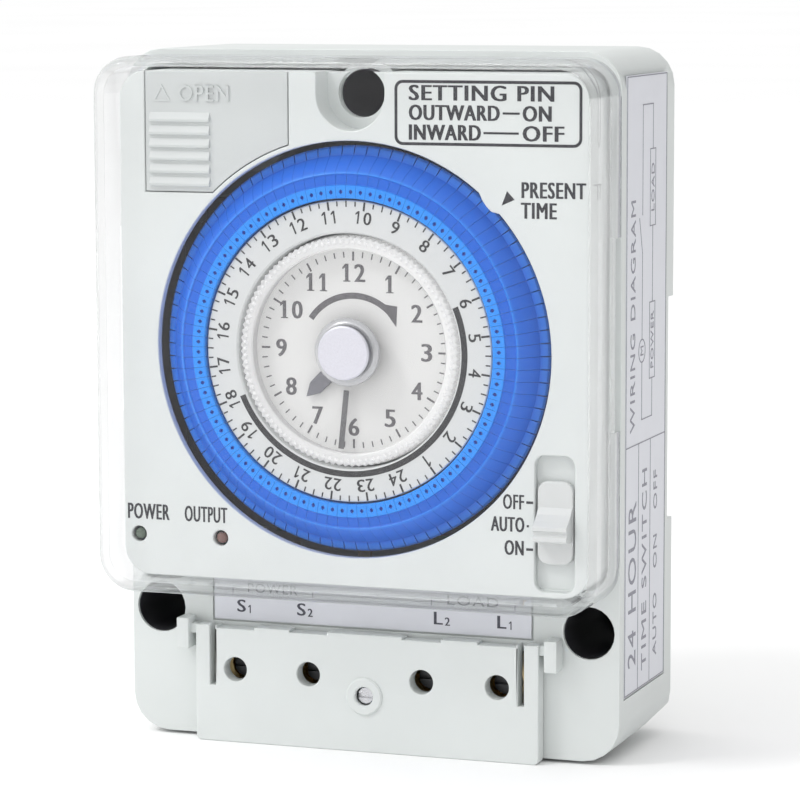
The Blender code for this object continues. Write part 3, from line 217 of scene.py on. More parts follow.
# ------------------------------------------------------------------ front panel
# The fascia that snaps into the casing, in the same grey ABS: a thin plate with the dial's round
# opening, the notch round the upper fixing tube, the battery's recess, the slider's pocket and two
# lamp holes, on a skirt that reaches back into the casing.
panel_low, panel_high = span("front_panel")
PANEL_Y = panel_low.y
PANEL_X = panel_high.x
PANEL_TOP = panel_high.z
PANEL_LOW = panel_low.z
PANEL_CORNER = 4.5
PLATE = 1.5
DIAL_X = 0.0
DIAL_Z = (span("day_dial")[0].z + span("day_dial")[1].z) / 2
OPENING_R = 32.4
INDEX_ANGLE = 45.4
NOTCH_R = 5.6
TUBE_Z = 50.9
door_low, door_high = span("battery_door")
DOOR_ARC_R = 33.3
DOOR_GAP = 0.16
SLOT_X = (29.8, 36.2)
SLOT_Z = (-24.6, -3.5)
LAMPS = {"power_lamp": (-36.1, -19.05), "output_lamp": (-22.1, -19.05)}
LAMP_HOLE_R = 1.25
LINING_WALL = 0.8
WELL_R = 6.2
WELL_HOLE_R = 3.8
WELL_Y = (-30.0, -29.45)
BATTERY_HATCH = (-22.8, 45.0, 6.5)
STEM_SLOT = (31.2, 34.8, -19.3, -8.5)


def arc(x, z, radius, start, end, steps=8):
    """Points on an arc, its angles in degrees from +X towards +Z."""
    turns = [radians(start + (end - start) * step / steps) for step in range(steps + 1)]
    return [(x + radius * cos(turn), z + radius * sin(turn)) for turn in turns]


def circle(x, z, radius, steps=48):
    return arc(x, z, radius, 0, 360 * (steps - 1) / steps, steps - 1)


def round_box(left, right, low, high, corner, steps=7):
    return (
        arc(right - corner, high - corner, corner, 0, 90, steps)
        + arc(left + corner, high - corner, corner, 90, 180, steps)
        + arc(left + corner, low + corner, corner, 180, 270, steps)
        + arc(right - corner, low + corner, corner, 270, 360, steps)
    )


def standing(drawing, depth):
    """The mesh of a flat curve or of a text, stood up to face the user at a depth."""
    thing = bpy.data.objects.new("drawing", drawing)
    flat = bpy.data.meshes.new_from_object(thing)
    mesh = bmesh.new()
    mesh.from_mesh(flat)
    bpy.data.objects.remove(thing)
    bpy.data.curves.remove(drawing)
    bpy.data.meshes.remove(flat)
    bmesh.ops.remove_doubles(mesh, verts=mesh.verts, dist=1e-4)
    bmesh.ops.rotate(mesh, cent=(0, 0, 0), matrix=Matrix.Rotation(pi / 2, 3, "X"), verts=mesh.verts)
    bmesh.ops.translate(mesh, vec=(0, depth, 0), verts=mesh.verts)
    return mesh


def plate(outlines, front, back, edge=0.2, rounding=2):
    """A plate between two depths: its first outline is the outside, and the others are holes."""
    drawing = bpy.data.curves.new("plate", "CURVE")
    drawing.dimensions = "2D"
    drawing.fill_mode = "BOTH"
    drawing.extrude = (back - front) / 2 - edge
    drawing.bevel_depth = edge
    drawing.bevel_resolution = rounding
    drawing.offset = -edge
    for outline in outlines:
        spline = drawing.splines.new("POLY")
        spline.points.add(len(outline) - 1)
        for point, (x, z) in zip(spline.points, outline):
            point.co = (x, z, 0, 1)
        spline.use_cyclic_u = True
    return standing(drawing, (front + back) / 2)


def add(whole, part, turn=0.0, x=0.0, depth=0.0, z=0.0, finish=0):
    """Turn a part in the dial's plane, move it, and make it one mesh with the whole."""
    bmesh.ops.rotate(part, cent=(0, 0, 0), matrix=Matrix.Rotation(-radians(turn), 3, "Y"), verts=part.verts)
    bmesh.ops.translate(part, vec=(x, depth, z), verts=part.verts)
    if finish:
        for face in part.faces:
            face.material_index = finish
    carried = bpy.data.meshes.new("carried")
    part.to_mesh(carried)
    part.free()
    whole.from_mesh(carried)
    bpy.data.meshes.remove(carried)


def door_outline(grow, top):
    """The battery door, whose lower right side follows the dial's opening."""
    left, right, low = door_low.x - grow, door_high.x + grow, door_low.z - grow
    reach = DOOR_ARC_R - grow
    low_x = -sqrt(reach**2 - (low - DIAL_Z) ** 2)
    points = [(left, top), (left, low), (low_x, low)]
    for step in range(1, 15):
        x = low_x + (right - low_x) * step / 14
        points.append((x, DIAL_Z + sqrt(reach**2 - x**2)))
    return points + [(right, top)]


def opening():
    """The dial's opening, with the small tooth of the present-time index on its rim."""
    points = []
    for x, z in circle(0, 0, 1.0, 180):
        across = x * cos(radians(INDEX_ANGLE)) + z * sin(radians(INDEX_ANGLE))
        near = max(0.0, min(1.0, (across - 0.9985) / 0.0007))
        reach = OPENING_R - 0.75 * near
        points.append((DIAL_X + reach * x, DIAL_Z + reach * z))
    return points


corner_x, corner_z = PANEL_X - PANEL_CORNER, PANEL_TOP - PANEL_CORNER
outside = arc(corner_x, PANEL_LOW + PANEL_CORNER, PANEL_CORNER, 270, 360)
outside += arc(corner_x, corner_z, PANEL_CORNER, 0, 90)
outside += [(NOTCH_R, PANEL_TOP)] + arc(0, TUBE_Z, NOTCH_R, 0, -180, 18) + [(-NOTCH_R, PANEL_TOP)]
outside += door_outline(DOOR_GAP, PANEL_TOP)[::-1]
outside += arc(-corner_x, corner_z, PANEL_CORNER, 96, 180)
outside += arc(-corner_x, PANEL_LOW + PANEL_CORNER, PANEL_CORNER, 180, 270)
slot = round_box(*SLOT_X, *SLOT_Z, 1.6)
lamp_holes = [circle(x, z, LAMP_HOLE_R, 24) for x, z in LAMPS.values()]
panel = plate([outside, opening(), slot, *lamp_holes], PANEL_Y, PANEL_Y + PLATE, 0.22)

# The recess's floor with the battery's round hatch, and the slider's pocket with its stem slot.
hatch = circle(*BATTERY_HATCH, 40)
add(panel, plate([door_outline(0.25, PANEL_TOP - 0.05), hatch], PANEL_Y + PLATE - 0.02, PANEL_Y + 2.4, 0.05))
pocket = round_box(SLOT_X[0] - 0.4, SLOT_X[1] + 0.4, SLOT_Z[0] - 0.4, SLOT_Z[1] + 0.4, 1.8)
stem = round_box(*STEM_SLOT, 0.3, 2)
add(panel, plate([pocket, stem], PANEL_Y + PLATE + 0.15, PANEL_Y + 2.6, 0.05))
add(panel, plate([pocket, slot], PANEL_Y + PLATE - 0.4, PANEL_Y + PLATE + 0.3, 0.05))

# The skirt, open at the notch, and the wall that lines the notch.
skirt_back = DECK_Y + 2.6
wall = 1.2
skirt_end = NOTCH_R + 0.4
skirt_top = PANEL_TOP - 0.03
outer_box = (-PANEL_X, PANEL_X, PANEL_LOW, skirt_top, PANEL_CORNER)
outer = [(skirt_end, skirt_top)] + round_box(*outer_box)[7::-1]
outer += round_box(*outer_box)[:7:-1] + [(-skirt_end, skirt_top)]
inner_box = (-PANEL_X + wall, PANEL_X - wall, PANEL_LOW + wall, PANEL_TOP - wall, PANEL_CORNER - wall)
inner = [(skirt_end, PANEL_TOP - wall)] + round_box(*inner_box)[7::-1]
inner += round_box(*inner_box)[:7:-1] + [(-skirt_end, PANEL_TOP - wall)]
add(panel, plate([outer + inner[::-1]], PANEL_Y + PLATE - 0.3, skirt_back, 0.1, 1))
lining_r = NOTCH_R + LINING_WALL
lining = [(NOTCH_R, PANEL_TOP)] + arc(0, TUBE_Z, NOTCH_R, 0, -180, 18) + [(-NOTCH_R, PANEL_TOP)]
lining += [(-lining_r, PANEL_TOP)] + arc(0, TUBE_Z, lining_r, -180, 0, 18) + [(lining_r, PANEL_TOP)]
add(panel, plate([lining], PANEL_Y + PLATE - 0.3, skirt_back, 0.1, 1))
well_top = PANEL_TOP - 0.1
well = [(-WELL_R, well_top)] + arc(0, TUBE_Z, WELL_R, 180, 360, 18) + [(WELL_R, well_top)]
well += arc(0, TUBE_Z, WELL_HOLE_R, 60.3, -240.3, 30)
add(panel, plate([well], *WELL_Y, 0.15))
bmesh.ops.recalc_face_normals(panel, faces=panel.faces)
show("panel", panel, [grey_abs], "case", ("front_panel",))


# ------------------------------------------------------------------ panel printing
# Dark grey ink, pad-printed on the panel: the lamps' and the slider's legends, the present-time mark
# and the framed setting note. The film is a few hundredths of a millimetre thick.
INK_THICK = 0.05
INK_GREY = (0.012, 0.012, 0.017)


def printing_ink(name, colour):
    """Pad-printed ink, a little thinner in places."""
    made, nodes, link, shader, place = new_finish(name)
    fading = noise(nodes, link, place, 0.5)
    thin = tuple(share * 1.5 + 0.02 for share in colour)
    link(graded(nodes, link, fading, ((0.4, colour), (0.75, thin))), shader.inputs["Base Color"])
    link(between(nodes, link, fading, 0.4, 0.6), shader.inputs["Roughness"])
    return made


def lettering(words, height, width=None, bold=0.0, spacing=1.12):
    """Letters as a thin mesh round the origin, fitted to a size. Bold ones are struck again to each side."""
    text = bpy.data.curves.new("words", "FONT")
    text.body = words
    text.extrude = 0.5
    text.space_character = spacing
    text.resolution_u = 3
    mesh = standing(text, 0.0)
    across = [vert.co.x for vert in mesh.verts]
    upright = [vert.co.z for vert in mesh.verts]
    middle = ((min(across) + max(across)) / 2, 0, (min(upright) + max(upright)) / 2)
    tall = height / (max(upright) - min(upright))
    wide = (width - 2 * bold if width else tall * (max(across) - min(across))) / (max(across) - min(across))
    bmesh.ops.translate(mesh, vec=-Vector(middle), verts=mesh.verts)
    bmesh.ops.scale(mesh, vec=(wide, INK_THICK, tall), verts=mesh.verts)
    if not bold:
        return mesh
    struck = bmesh.new()
    for strike in (-1, 0, 1):
        add(struck, mesh.copy(), x=strike * bold, depth=abs(strike) * 0.003)
    mesh.free()
    return struck


def printed(outline, *holes, depth=0.0):
    """A flat shape of ink at a depth."""
    return plate([outline, *holes], depth - INK_THICK / 2, depth + INK_THICK / 2, 0.01, 0)


def figure_one(height, stroke, foot):
    """A figure one with its flag, and with a foot if it has serifs."""
    half = height / 2
    outline = [(stroke / 2, half), (-stroke / 2, half), (-0.26 * height, half - 0.2 * height)]
    outline += [(-0.26 * height, half - 0.32 * height), (-stroke / 2, half - 0.2 * height)]
    if foot:
        reach = 0.22 * height
        outline += [(-stroke / 2, -half + 0.07 * height), (-reach, -half + 0.05 * height), (-reach, -half)]
        outline += [(reach, -half), (reach, -half + 0.05 * height), (stroke / 2, -half + 0.07 * height)]
    else:
        outline += [(-stroke / 2, -half), (stroke / 2, -half)]
    return printed(outline)


def figures_of(value, height, bold, foot=False):
    """The figures of a number side by side, round the origin."""
    figures = str(value)
    pitch = 0.78 * height
    whole = bmesh.new()
    for place, figure in enumerate(figures):
        if figure == "1":
            shape = figure_one(height, (0.2 if foot else 0.13) * height, foot)
        else:
            shape = lettering(figure, height, 0.66 * height, bold)
        add(whole, shape, x=(place - (len(figures) - 1) / 2) * pitch)
    return whole


def bar(length, breadth, thick=INK_THICK):
    """A short line along X, round the origin."""
    mesh = bmesh.new()
    bmesh.ops.create_cube(mesh, size=1.0, matrix=Matrix.Diagonal((length, thick, breadth, 1.0)))
    return mesh


ink = printing_ink("panel_ink", INK_GREY)
legends = bmesh.new()
ink_y = PANEL_Y - INK_THICK / 2 + 0.01
for words, x, z, width, height, bold in (
    ("POWER", -34.4, -15.4, 7.2, 2.5, 0.08),
    ("OUTPUT", -24.55, -15.4, 7.3, 2.5, 0.07),
    ("OFF", 26.45, -10.85, 3.4, 2.3, 0.07),
    ("AUTO", 25.5, -14.35, 5.4, 2.3, 0.09),
    ("ON", 26.55, -17.95, 3.1, 2.3, 0.09),
    ("PRESENT", 32.75, 36.8, 10.2, 2.45, 0.1),
    ("TIME", 30.4, 33.7, 5.7, 2.4, 0.1),
    ("SETTING PIN", 21.2, 51.3, 23.2, 2.35, 0.13),
    ("OUTWARD", 16.9, 48.3, 14.6, 2.35, 0.13),
    ("ON", 30.1, 48.3, 4.6, 2.35, 0.13),
    ("INWARD", 15.4, 45.3, 11.6, 2.35, 0.13),
    ("OFF", 31.1, 45.3, 6.6, 2.35, 0.13),
):
    add(legends, lettering(words, height, width, bold), x=x, depth=ink_y, z=z)
for x, z, length, breadth in (
    (29.05, -10.85, 1.1, 0.38),
    (28.75, -14.5, 0.35, 0.35),
    (29.05, -18.1, 1.1, 0.38),
    (26.0, 48.3, 2.7, 0.32),
    (24.4, 45.3, 5.6, 0.32),
):
    add(legends, bar(length, breadth), x=x, depth=ink_y, z=z)
note = round_box(7.3, 37.2, 43.3, 53.2, 1.3)
note_inside = round_box(7.75, 36.75, 43.75, 52.75, 0.9)
add(legends, printed(note, note_inside, depth=ink_y))
arrow = [(24.5, 34.4), (26.55, 35.3), (25.35, 36.6)]
add(legends, printed(arrow, depth=ink_y))
show("panel_legends", legends, [ink], "case")


# ------------------------------------------------------------------ battery door
# A thin ABS door over the backup battery, a shade darker than the panel. It slides up once the clear
# cover is off. Six moulded thumb ribs slope towards the user, and its word and arrow stand a little proud.
RIBS = 6
RIB_PITCH = 2.0
rib_left, rib_right = door_low.x + 0.75, door_low.x + 10.9
door_y = PANEL_Y + 0.05
door = plate([door_outline(0.0, PANEL_TOP - 0.05)], door_y, PANEL_Y + 1.2, 0.15)


def along_x(profile, left, right, edge=0.0):
    """A bar with a profile of (depth, z) points, from left to right."""
    mesh = bmesh.new()
    face = mesh.faces.new([mesh.verts.new((left, y, z)) for y, z in profile])
    grown = bmesh.ops.extrude_face_region(mesh, geom=[face])["geom"]
    moved = [item for item in grown if isinstance(item, bmesh.types.BMVert)]
    bmesh.ops.translate(mesh, vec=(right - left, 0, 0), verts=moved)
    bmesh.ops.recalc_face_normals(mesh, faces=mesh.faces)
    if edge:
        round_edges(mesh, list(mesh.edges), edge)
    return mesh


for number in range(RIBS):
    low = door_low.z + 0.75 + RIB_PITCH * number
    crest = door_y - 0.55
    slope = [(door_y + 0.3, low), (crest, low + 0.12), (crest, low + 0.5), (door_y + 0.05, low + 1.68)]
    add(door, along_x(slope, rib_left, rib_right, 0.06))
word = lettering("OPEN", 2.5, 8.6, 0.09)
bmesh.ops.scale(word, vec=(1, 10, 1), verts=word.verts)
add(door, word, x=-24.3, depth=door_y - 0.02, z=50.8)
hollow_arrow = [[(-32.9, 49.5), (-29.9, 49.5), (-31.4, 52.2)], [(-32.4, 49.8), (-30.4, 49.8), (-31.4, 51.6)]]
add(door, plate(hollow_arrow, door_y - 0.14, door_y + 0.1, 0.02, 0))
door_abs = moulded_plastic("door_abs", (0.58, 0.605, 0.6), 0.42)
show("battery_hatch_door", door, [door_abs], "battery_door", ("battery_door",))


# ------------------------------------------------------------------ mode slider
# A white acetal slider in the pocket, for OFF, AUTO and ON: a rounded plate with a thumb ridge that
# ramps up from above, with a groove across its front.
slider_low, slider_high = span("mode_slider")
SLIDER_Z = -13.9
SLIDER_HALF = 6.45
slider_left, slider_right = slider_low.x, slider_high.x
slider = plate(
    [round_box(slider_left, slider_right, SLIDER_Z - SLIDER_HALF, SLIDER_Z + SLIDER_HALF, 1.7)],
    PANEL_Y + 0.3,
    PANEL_Y + PLATE - 0.1,
    0.3,
    3,
)
ridge_y = PANEL_Y - 2.7
ridge = [
    (PANEL_Y + 0.5, -11.4),
    (PANEL_Y + 0.28, -11.5),
    (PANEL_Y - 0.45, -12.5),
    (PANEL_Y - 1.5, -13.35),
    (ridge_y + 0.4, -13.85),
    (ridge_y, -14.1),
    (ridge_y, -14.7),
    (ridge_y + 0.45, -14.9),
    (ridge_y + 0.45, -15.45),
    (ridge_y, -15.65),
    (ridge_y, -16.3),
    (ridge_y + 0.35, -16.55),
    (PANEL_Y + 0.5, -16.7),
]
add(slider, along_x(ridge, slider_left + 0.12, slider_right - 0.12, 0.08))
slider_stem = [(PANEL_Y + 1, -12.4), (PANEL_Y + 1, -15.4), (slider_high.y, -15.4), (slider_high.y, -12.4)]
add(slider, along_x(slider_stem, 31.5, 34.5))
white_acetal = moulded_plastic("white_acetal", (0.65, 0.665, 0.66), 0.35, 0.01, 0.12)
show("slider", slider, [white_acetal], "mode_slider", ("mode_slider",))


# ------------------------------------------------------------------ trippers
# Ninety-six blue acetal trippers, one for each quarter of an hour, stand on the day dial. Each is a
# wedge with a light step that has a pit for a fingernail, a ridge, a long slope and a raised tip. A
# tripper pushed out works the switch. Six of them move on their own, and the rest share one ring.
TRIPPERS = 96
LOOSE = {"tripper_1": 2, "tripper_2": 17, "tripper_3": 39, "tripper_4": 52, "tripper_5": 74, "tripper_6": 89}
SPLIT = 0.022
TIP_R = 30.3
STEP_Y = -37.2
TRIP_BACK_Y = span("tripper_1")[1].y
PIT_R = 24.72
TRIPPER_PROFILE = (
    (23.7, TRIP_BACK_Y),
    (23.7, STEP_Y + 0.15),
    (23.82, STEP_Y),
    (25.7, STEP_Y),
    (25.85, STEP_Y + 0.25),
    (27.3, STEP_Y + 0.55),
    (27.55, STEP_Y + 0.35),
    (27.85, STEP_Y + 0.5),
    (28.9, STEP_Y + 1.75),
    (30.2, STEP_Y + 3.7),
    (30.35, STEP_Y + 3.75),
    (31.3, STEP_Y + 4.15),
    (31.6, STEP_Y + 4.5),
    (31.6, TRIP_BACK_Y),
)


def tripper(number):
    """One tripper: its profile spun through its share of the ring, with the pit sunk in its step."""
    mesh = bmesh.new()
    corners = [mesh.verts.new((radius, depth, 0.0)) for radius, depth in TRIPPER_PROFILE]
    side = mesh.faces.new(corners)
    share = 2 * pi / TRIPPERS
    bmesh.ops.spin(
        mesh,
        geom=[side],
        cent=(0, 0, 0),
        axis=(0, -1, 0),
        dvec=(0, 0, 0),
        angle=share,
        steps=1,
        use_merge=False,
    )
    bmesh.ops.recalc_face_normals(mesh, faces=mesh.faces)
    # Both side faces step inwards, to leave the split between neighbours.
    for vert in mesh.verts:
        radius = sqrt(vert.co.x**2 + vert.co.z**2)
        reach = SPLIT * (4 if radius > TIP_R else 1) / radius
        slip = reach if abs(vert.co.z) < 1e-6 else -reach
        vert.co = Matrix.Rotation(-slip, 3, "Y") @ vert.co
    step = min(mesh.faces, key=lambda face: (face.calc_center_median() - pit_place).length)
    bmesh.ops.inset_individual(mesh, faces=[step], thickness=0.25, use_even_offset=True)
    middle = step.calc_center_median()
    for vert in step.verts:
        away = vert.co - middle
        vert.co = pit_place + away.normalized() * 0.46
        vert.co.y = STEP_Y
    bmesh.ops.bevel(
        mesh, geom=list(step.verts), offset=0.25, segments=1, profile=0.5, affect="VERTICES", material=-1
    )
    pit = min(mesh.faces, key=lambda face: (face.calc_center_median() - pit_place).length)
    sunk = bmesh.ops.extrude_face_region(mesh, geom=[pit])["geom"]
    bmesh.ops.delete(mesh, geom=[pit], context="FACES_ONLY")
    floor = [item for item in sunk if isinstance(item, bmesh.types.BMVert)]
    bmesh.ops.translate(mesh, vec=(0, 0.35, 0), verts=floor)
    # The pit's walls and floor take the second finish, a darker blue that is painted shade in the pit.
    for item in sunk:
        if isinstance(item, bmesh.types.BMFace):
            item.material_index = 1
    swing_round_dial(mesh, number * share)
    return mesh


def swing_round_dial(mesh, turn):
    """Turn a part that was made at the origin, and put it on the dial's line."""
    bmesh.ops.rotate(mesh, cent=(0, 0, 0), matrix=Matrix.Rotation(-turn, 3, "Y"), verts=mesh.verts)
    bmesh.ops.translate(mesh, vec=(DIAL_X, 0, DIAL_Z), verts=mesh.verts)


def dial_radius(nodes, link, place):
    """The distance from the dial's line, in millimetres."""
    centred = nodes.new("ShaderNodeMapping")
    centred.vector_type = "TEXTURE"
    centred.inputs["Location"].default_value = (DIAL_X * MM, 0, DIAL_Z * MM)
    centred.inputs["Scale"].default_value = (MM, 1e6, MM)
    link(place, centred.inputs["Vector"])
    length = nodes.new("ShaderNodeVectorMath")
    length.operation = "LENGTH"
    link(centred.outputs["Vector"], length.inputs[0])
    return length.outputs["Value"]


def tripper_blue(name):
    """Blue acetal that lets some light in, coloured in bands by radius: paler on the step, with painted
    highlights on the ridge and the tips where they catch the light.
    """
    made, nodes, link, shader, place = new_finish(name)
    ring = nodes.new("ShaderNodeMapRange")
    ring.inputs["From Min"].default_value = 23.0
    ring.inputs["From Max"].default_value = 33.0
    link(dial_radius(nodes, link, place), ring.inputs["Value"])
    # Painted highlights: the bands at the ridge and at the tips are a lighter blue, where those faces catch
    # the light.
    blue_bands_and_highlights = graded(
        nodes,
        link,
        ring.outputs["Result"],
        (
            (0.0, (0.02, 0.27, 0.88)),
            (0.26, (0.02, 0.27, 0.88)),
            (0.29, (0.006, 0.125, 0.64)),
            (0.43, (0.006, 0.125, 0.64)),
            (0.455, (0.03, 0.24, 0.82)),
            (0.50, (0.008, 0.14, 0.70)),
            (0.73, (0.008, 0.135, 0.68)),
            (0.76, (0.02, 0.19, 0.76)),
            (0.86, (0.04, 0.22, 0.78)),
        ),
    )
    link(blue_bands_and_highlights, shader.inputs["Base Color"])
    fine = noise(nodes, link, place, 0.4, 2.0)
    link(between(nodes, link, fine, 0.26, 0.38), shader.inputs["Roughness"])
    grained(nodes, link, shader, fine, 0.15, 0.02)
    shader.inputs["Specular IOR Level"].default_value = 0.22
    shader.inputs["Subsurface Weight"].default_value = 0.1
    shader.inputs["Subsurface Radius"].default_value = (0.0004, 0.0008, 0.002)
    shader.inputs["Subsurface Scale"].default_value = 1.0
    return made


half_share = pi / TRIPPERS
pit_place = Vector((PIT_R * cos(half_share), STEP_Y, PIT_R * sin(half_share)))
blue = tripper_blue("tripper_blue")
# Painted shade: a darker blue for the pits, standing in for the shade inside each pit.
pit_painted_shade = moulded_plastic("pit_painted_shade", (0.006, 0.05, 0.36), 0.5)
ring = bmesh.new()
for number in range(TRIPPERS):
    if number not in LOOSE.values():
        add(ring, tripper(number))
web = [circle(DIAL_X, DIAL_Z, 31.4, 96), circle(DIAL_X, DIAL_Z, 23.8, 96)]
add(ring, plate(web, TRIP_BACK_Y - 0.3, TRIP_BACK_Y + 0.3, 0.02, 0))
show("tripper_set", ring, [blue, pit_painted_shade], "day_dial", ("tripper_ring",), crease=25.0)
for name, number in LOOSE.items():
    show(f"loose_{name}", tripper(number), [blue, pit_painted_shade], name, (name,), crease=25.0)


# ------------------------------------------------------------------ day dial
# The white acetal dial that turns once a day. Its flat ring is printed with the hours, which run
# anticlockwise with their tops outwards, a tick for each tripper and a heavy line for the night.
DAY_Y = -36.6
DAY_INNER, DAY_OUTER = 18.3, 23.4
HOUR_8_ANGLE = 52.9
NIGHT = (18, 30)


def turned(profile, steps=96, x=DIAL_X, z=DIAL_Z):
    """A round piece from a profile of (radius, depth) points, turned about a line along Y."""
    mesh = bmesh.new()
    corners = [mesh.verts.new((radius, depth, 0.0)) for radius, depth in profile]
    edges = [mesh.edges.new(pair) for pair in zip(corners, corners[1:])]
    if profile[0][0] > 0 or profile[-1][0] > 0:
        edges.append(mesh.edges.new((corners[-1], corners[0])))
    bmesh.ops.spin(
        mesh, geom=corners + edges, cent=(0, 0, 0), axis=(0, 1, 0), dvec=(0, 0, 0), angle=2 * pi, steps=steps,
        use_merge=True,
    )
    bmesh.ops.remove_doubles(mesh, verts=mesh.verts, dist=1e-4)
    bmesh.ops.recalc_face_normals(mesh, faces=mesh.faces)
    bmesh.ops.translate(mesh, vec=(x, 0, z), verts=mesh.verts)
    return mesh


def hour_angle(hour):
    return HOUR_8_ANGLE + (hour - 8) * 15


def round_the_dial(whole, part, angle, radius, depth, upright=False):
    """Put a part at an angle and radius on the dial, its top outwards unless it stays upright."""
    x = DIAL_X + radius * cos(radians(angle))
    z = DIAL_Z + radius * sin(radians(angle))
    add(whole, part, 0.0 if upright else angle - 90, x, depth, z)


def sweep(inner, outer, start, end, steps=60):
    """The outline of an arc-shaped line."""
    return arc(DIAL_X, DIAL_Z, outer, start, end, steps) + arc(DIAL_X, DIAL_Z, inner, end, start, steps)


day = turned(
    [
        (3.1, -32.4),
        (DAY_INNER - 0.1, -32.4),
        (DAY_INNER, -32.6),
        (DAY_INNER, DAY_Y + 0.25),
        (DAY_INNER + 0.25, DAY_Y),
        (DAY_OUTER - 0.15, DAY_Y),
        (DAY_OUTER, DAY_Y + 0.15),
        (DAY_OUTER, -30.4),
        (29.5, -30.4),
        (29.5, -29.6),
        (DAY_OUTER - 1.2, -29.6),
        (DAY_OUTER - 1.2, DAY_Y + 1.2),
        (DAY_INNER + 1.2, DAY_Y + 1.2),
        (DAY_INNER + 1.2, -31.2),
        (3.1, -31.2),
    ],
    120,
)
white_dial = moulded_plastic("white_dial", (0.64, 0.655, 0.655), 0.4, 0.01, 0.1)
show("day_ring", day, [white_dial], "day_dial", ("day_dial",))
dial_ink = printing_ink("dial_ink", (0.018, 0.018, 0.02))
hours = bmesh.new()
day_ink_y = DAY_Y - INK_THICK / 2 + 0.01
for hour in range(1, 25):
    numeral = figures_of(hour, 1.95, 0.04)
    round_the_dial(hours, numeral, hour_angle(hour), 20.85, day_ink_y)
    round_the_dial(hours, bar(0.3, 1.35), hour_angle(hour), 22.6, day_ink_y)
    for quarter in (1, 2, 3):
        length = 0.95 if quarter == 2 else 0.75
        round_the_dial(hours, bar(0.2, length), hour_angle(hour + quarter / 4), 22.85, day_ink_y)
night = sweep(18.55, 19.5, hour_angle(NIGHT[0]), hour_angle(NIGHT[1]))
add(hours, printed(night, depth=day_ink_y))
show("day_hours", hours, [dial_ink], "day_dial")


# ------------------------------------------------------------------ clock face
# The fixed twelve-hour face behind the clear disc: white card on a plastic plate, with upright
# numerals, minute ticks and the arrow that shows which way to set the time.
FACE_Y = -34.0
FACE_R = 18.0
face_back = FACE_Y + 0.8
face_section = [(3.1, FACE_Y), (FACE_R - 0.2, FACE_Y), (FACE_R, FACE_Y + 0.2)]
face_section += [(FACE_R, face_back), (3.1, face_back)]
face = turned(face_section)
card_white = moulded_plastic("card_white", (0.80, 0.80, 0.79), 0.5, 0.01, 0.1)
show("clock_plate", face, [card_white], "case", ("clock_face",))
face_ink = printing_ink("face_ink", (0.085, 0.08, 0.088))
marks = bmesh.new()
face_ink_y = FACE_Y - INK_THICK / 2 + 0.01
for hour in range(1, 13):
    numeral = figures_of(hour, 2.75, 0.11, foot=True)
    round_the_dial(marks, numeral, 90 - hour * 30, 12.0, face_ink_y, upright=True)
for minute in range(60):
    if minute % 5:
        round_the_dial(marks, bar(0.18, 0.9), 90 - minute * 6, 14.85, face_ink_y)
    else:
        round_the_dial(marks, bar(0.3, 1.4), 90 - minute * 6, 14.6, face_ink_y)
setting_arrow = arc(DIAL_X, DIAL_Z, 8.95, 146, 54, 24) + [(7.2, DIAL_Z + 7.0), (7.05, DIAL_Z + 3.8)]
setting_arrow += arc(DIAL_X, DIAL_Z, 8.0, 46, 146, 24)
add(marks, printed(setting_arrow, depth=face_ink_y))
show("clock_marks", marks, [face_ink], "case")


# ------------------------------------------------------------------ hands
# The hour hand is a short grey spade on its pipe. The minute hand is a line printed on the clear disc,
# whose thick fluted rim and central knob are turned to set the time.
HOUR_ANGLE = 90 - 225.5
MINUTE_ANGLE = 90 - 186
HAND_Y = -34.9
DISC_Y = -36.4
DISC_R = 17.9
FLUTES = 104
KNOB_Y = -38.8

hand_grey = moulded_plastic("hand_grey", (0.16, 0.16, 0.185), 0.45, 0.02, 0.1)
spade = [(2.4, -1.3), (8.6, -1.15), (10.6, 0.0), (8.6, 1.15), (2.4, 1.3)]
hand = plate([spade], HAND_Y, HAND_Y + 0.5, 0.08)
swing_round_dial(hand, radians(HOUR_ANGLE))
add(hand, turned([(2.0, HAND_Y), (3.4, HAND_Y), (3.4, HAND_Y + 0.5), (2.0, HAND_Y + 0.5)], 48))
show("hour_spade", hand, [hand_grey], "hour_hand", ("hour_hand",))


def clear_plastic(name, tint, roughness, density):
    """Polished clear styrene: its flats pass all but a few hundredths of the light, its walls much less."""
    made, nodes, link, shader, place = new_finish(name)
    scuff = noise(nodes, link, place, 3.0, 4.0)
    dull = tuple(share * 0.97 for share in tint)
    link(graded(nodes, link, scuff, ((0.35, dull), (0.65, tint))), shader.inputs["Base Color"])
    link(between(nodes, link, scuff, roughness * 0.6, roughness * 1.4), shader.inputs["Roughness"])
    shader.inputs["Metallic"].default_value = 0.6
    shader.inputs["Alpha"].default_value = density
    return made


disc_clear = clear_plastic("disc_clear", (0.9, 0.9, 0.93), 0.05, 0.03)
rim_clear_painted_glow = clear_plastic("rim_clear_painted_glow", (0.97, 0.97, 0.975), 0.2, 0.4)
rim_glow_shader = rim_clear_painted_glow.node_tree.nodes["Principled BSDF"]
rim_glow_shader.inputs["Metallic"].default_value = 0.0
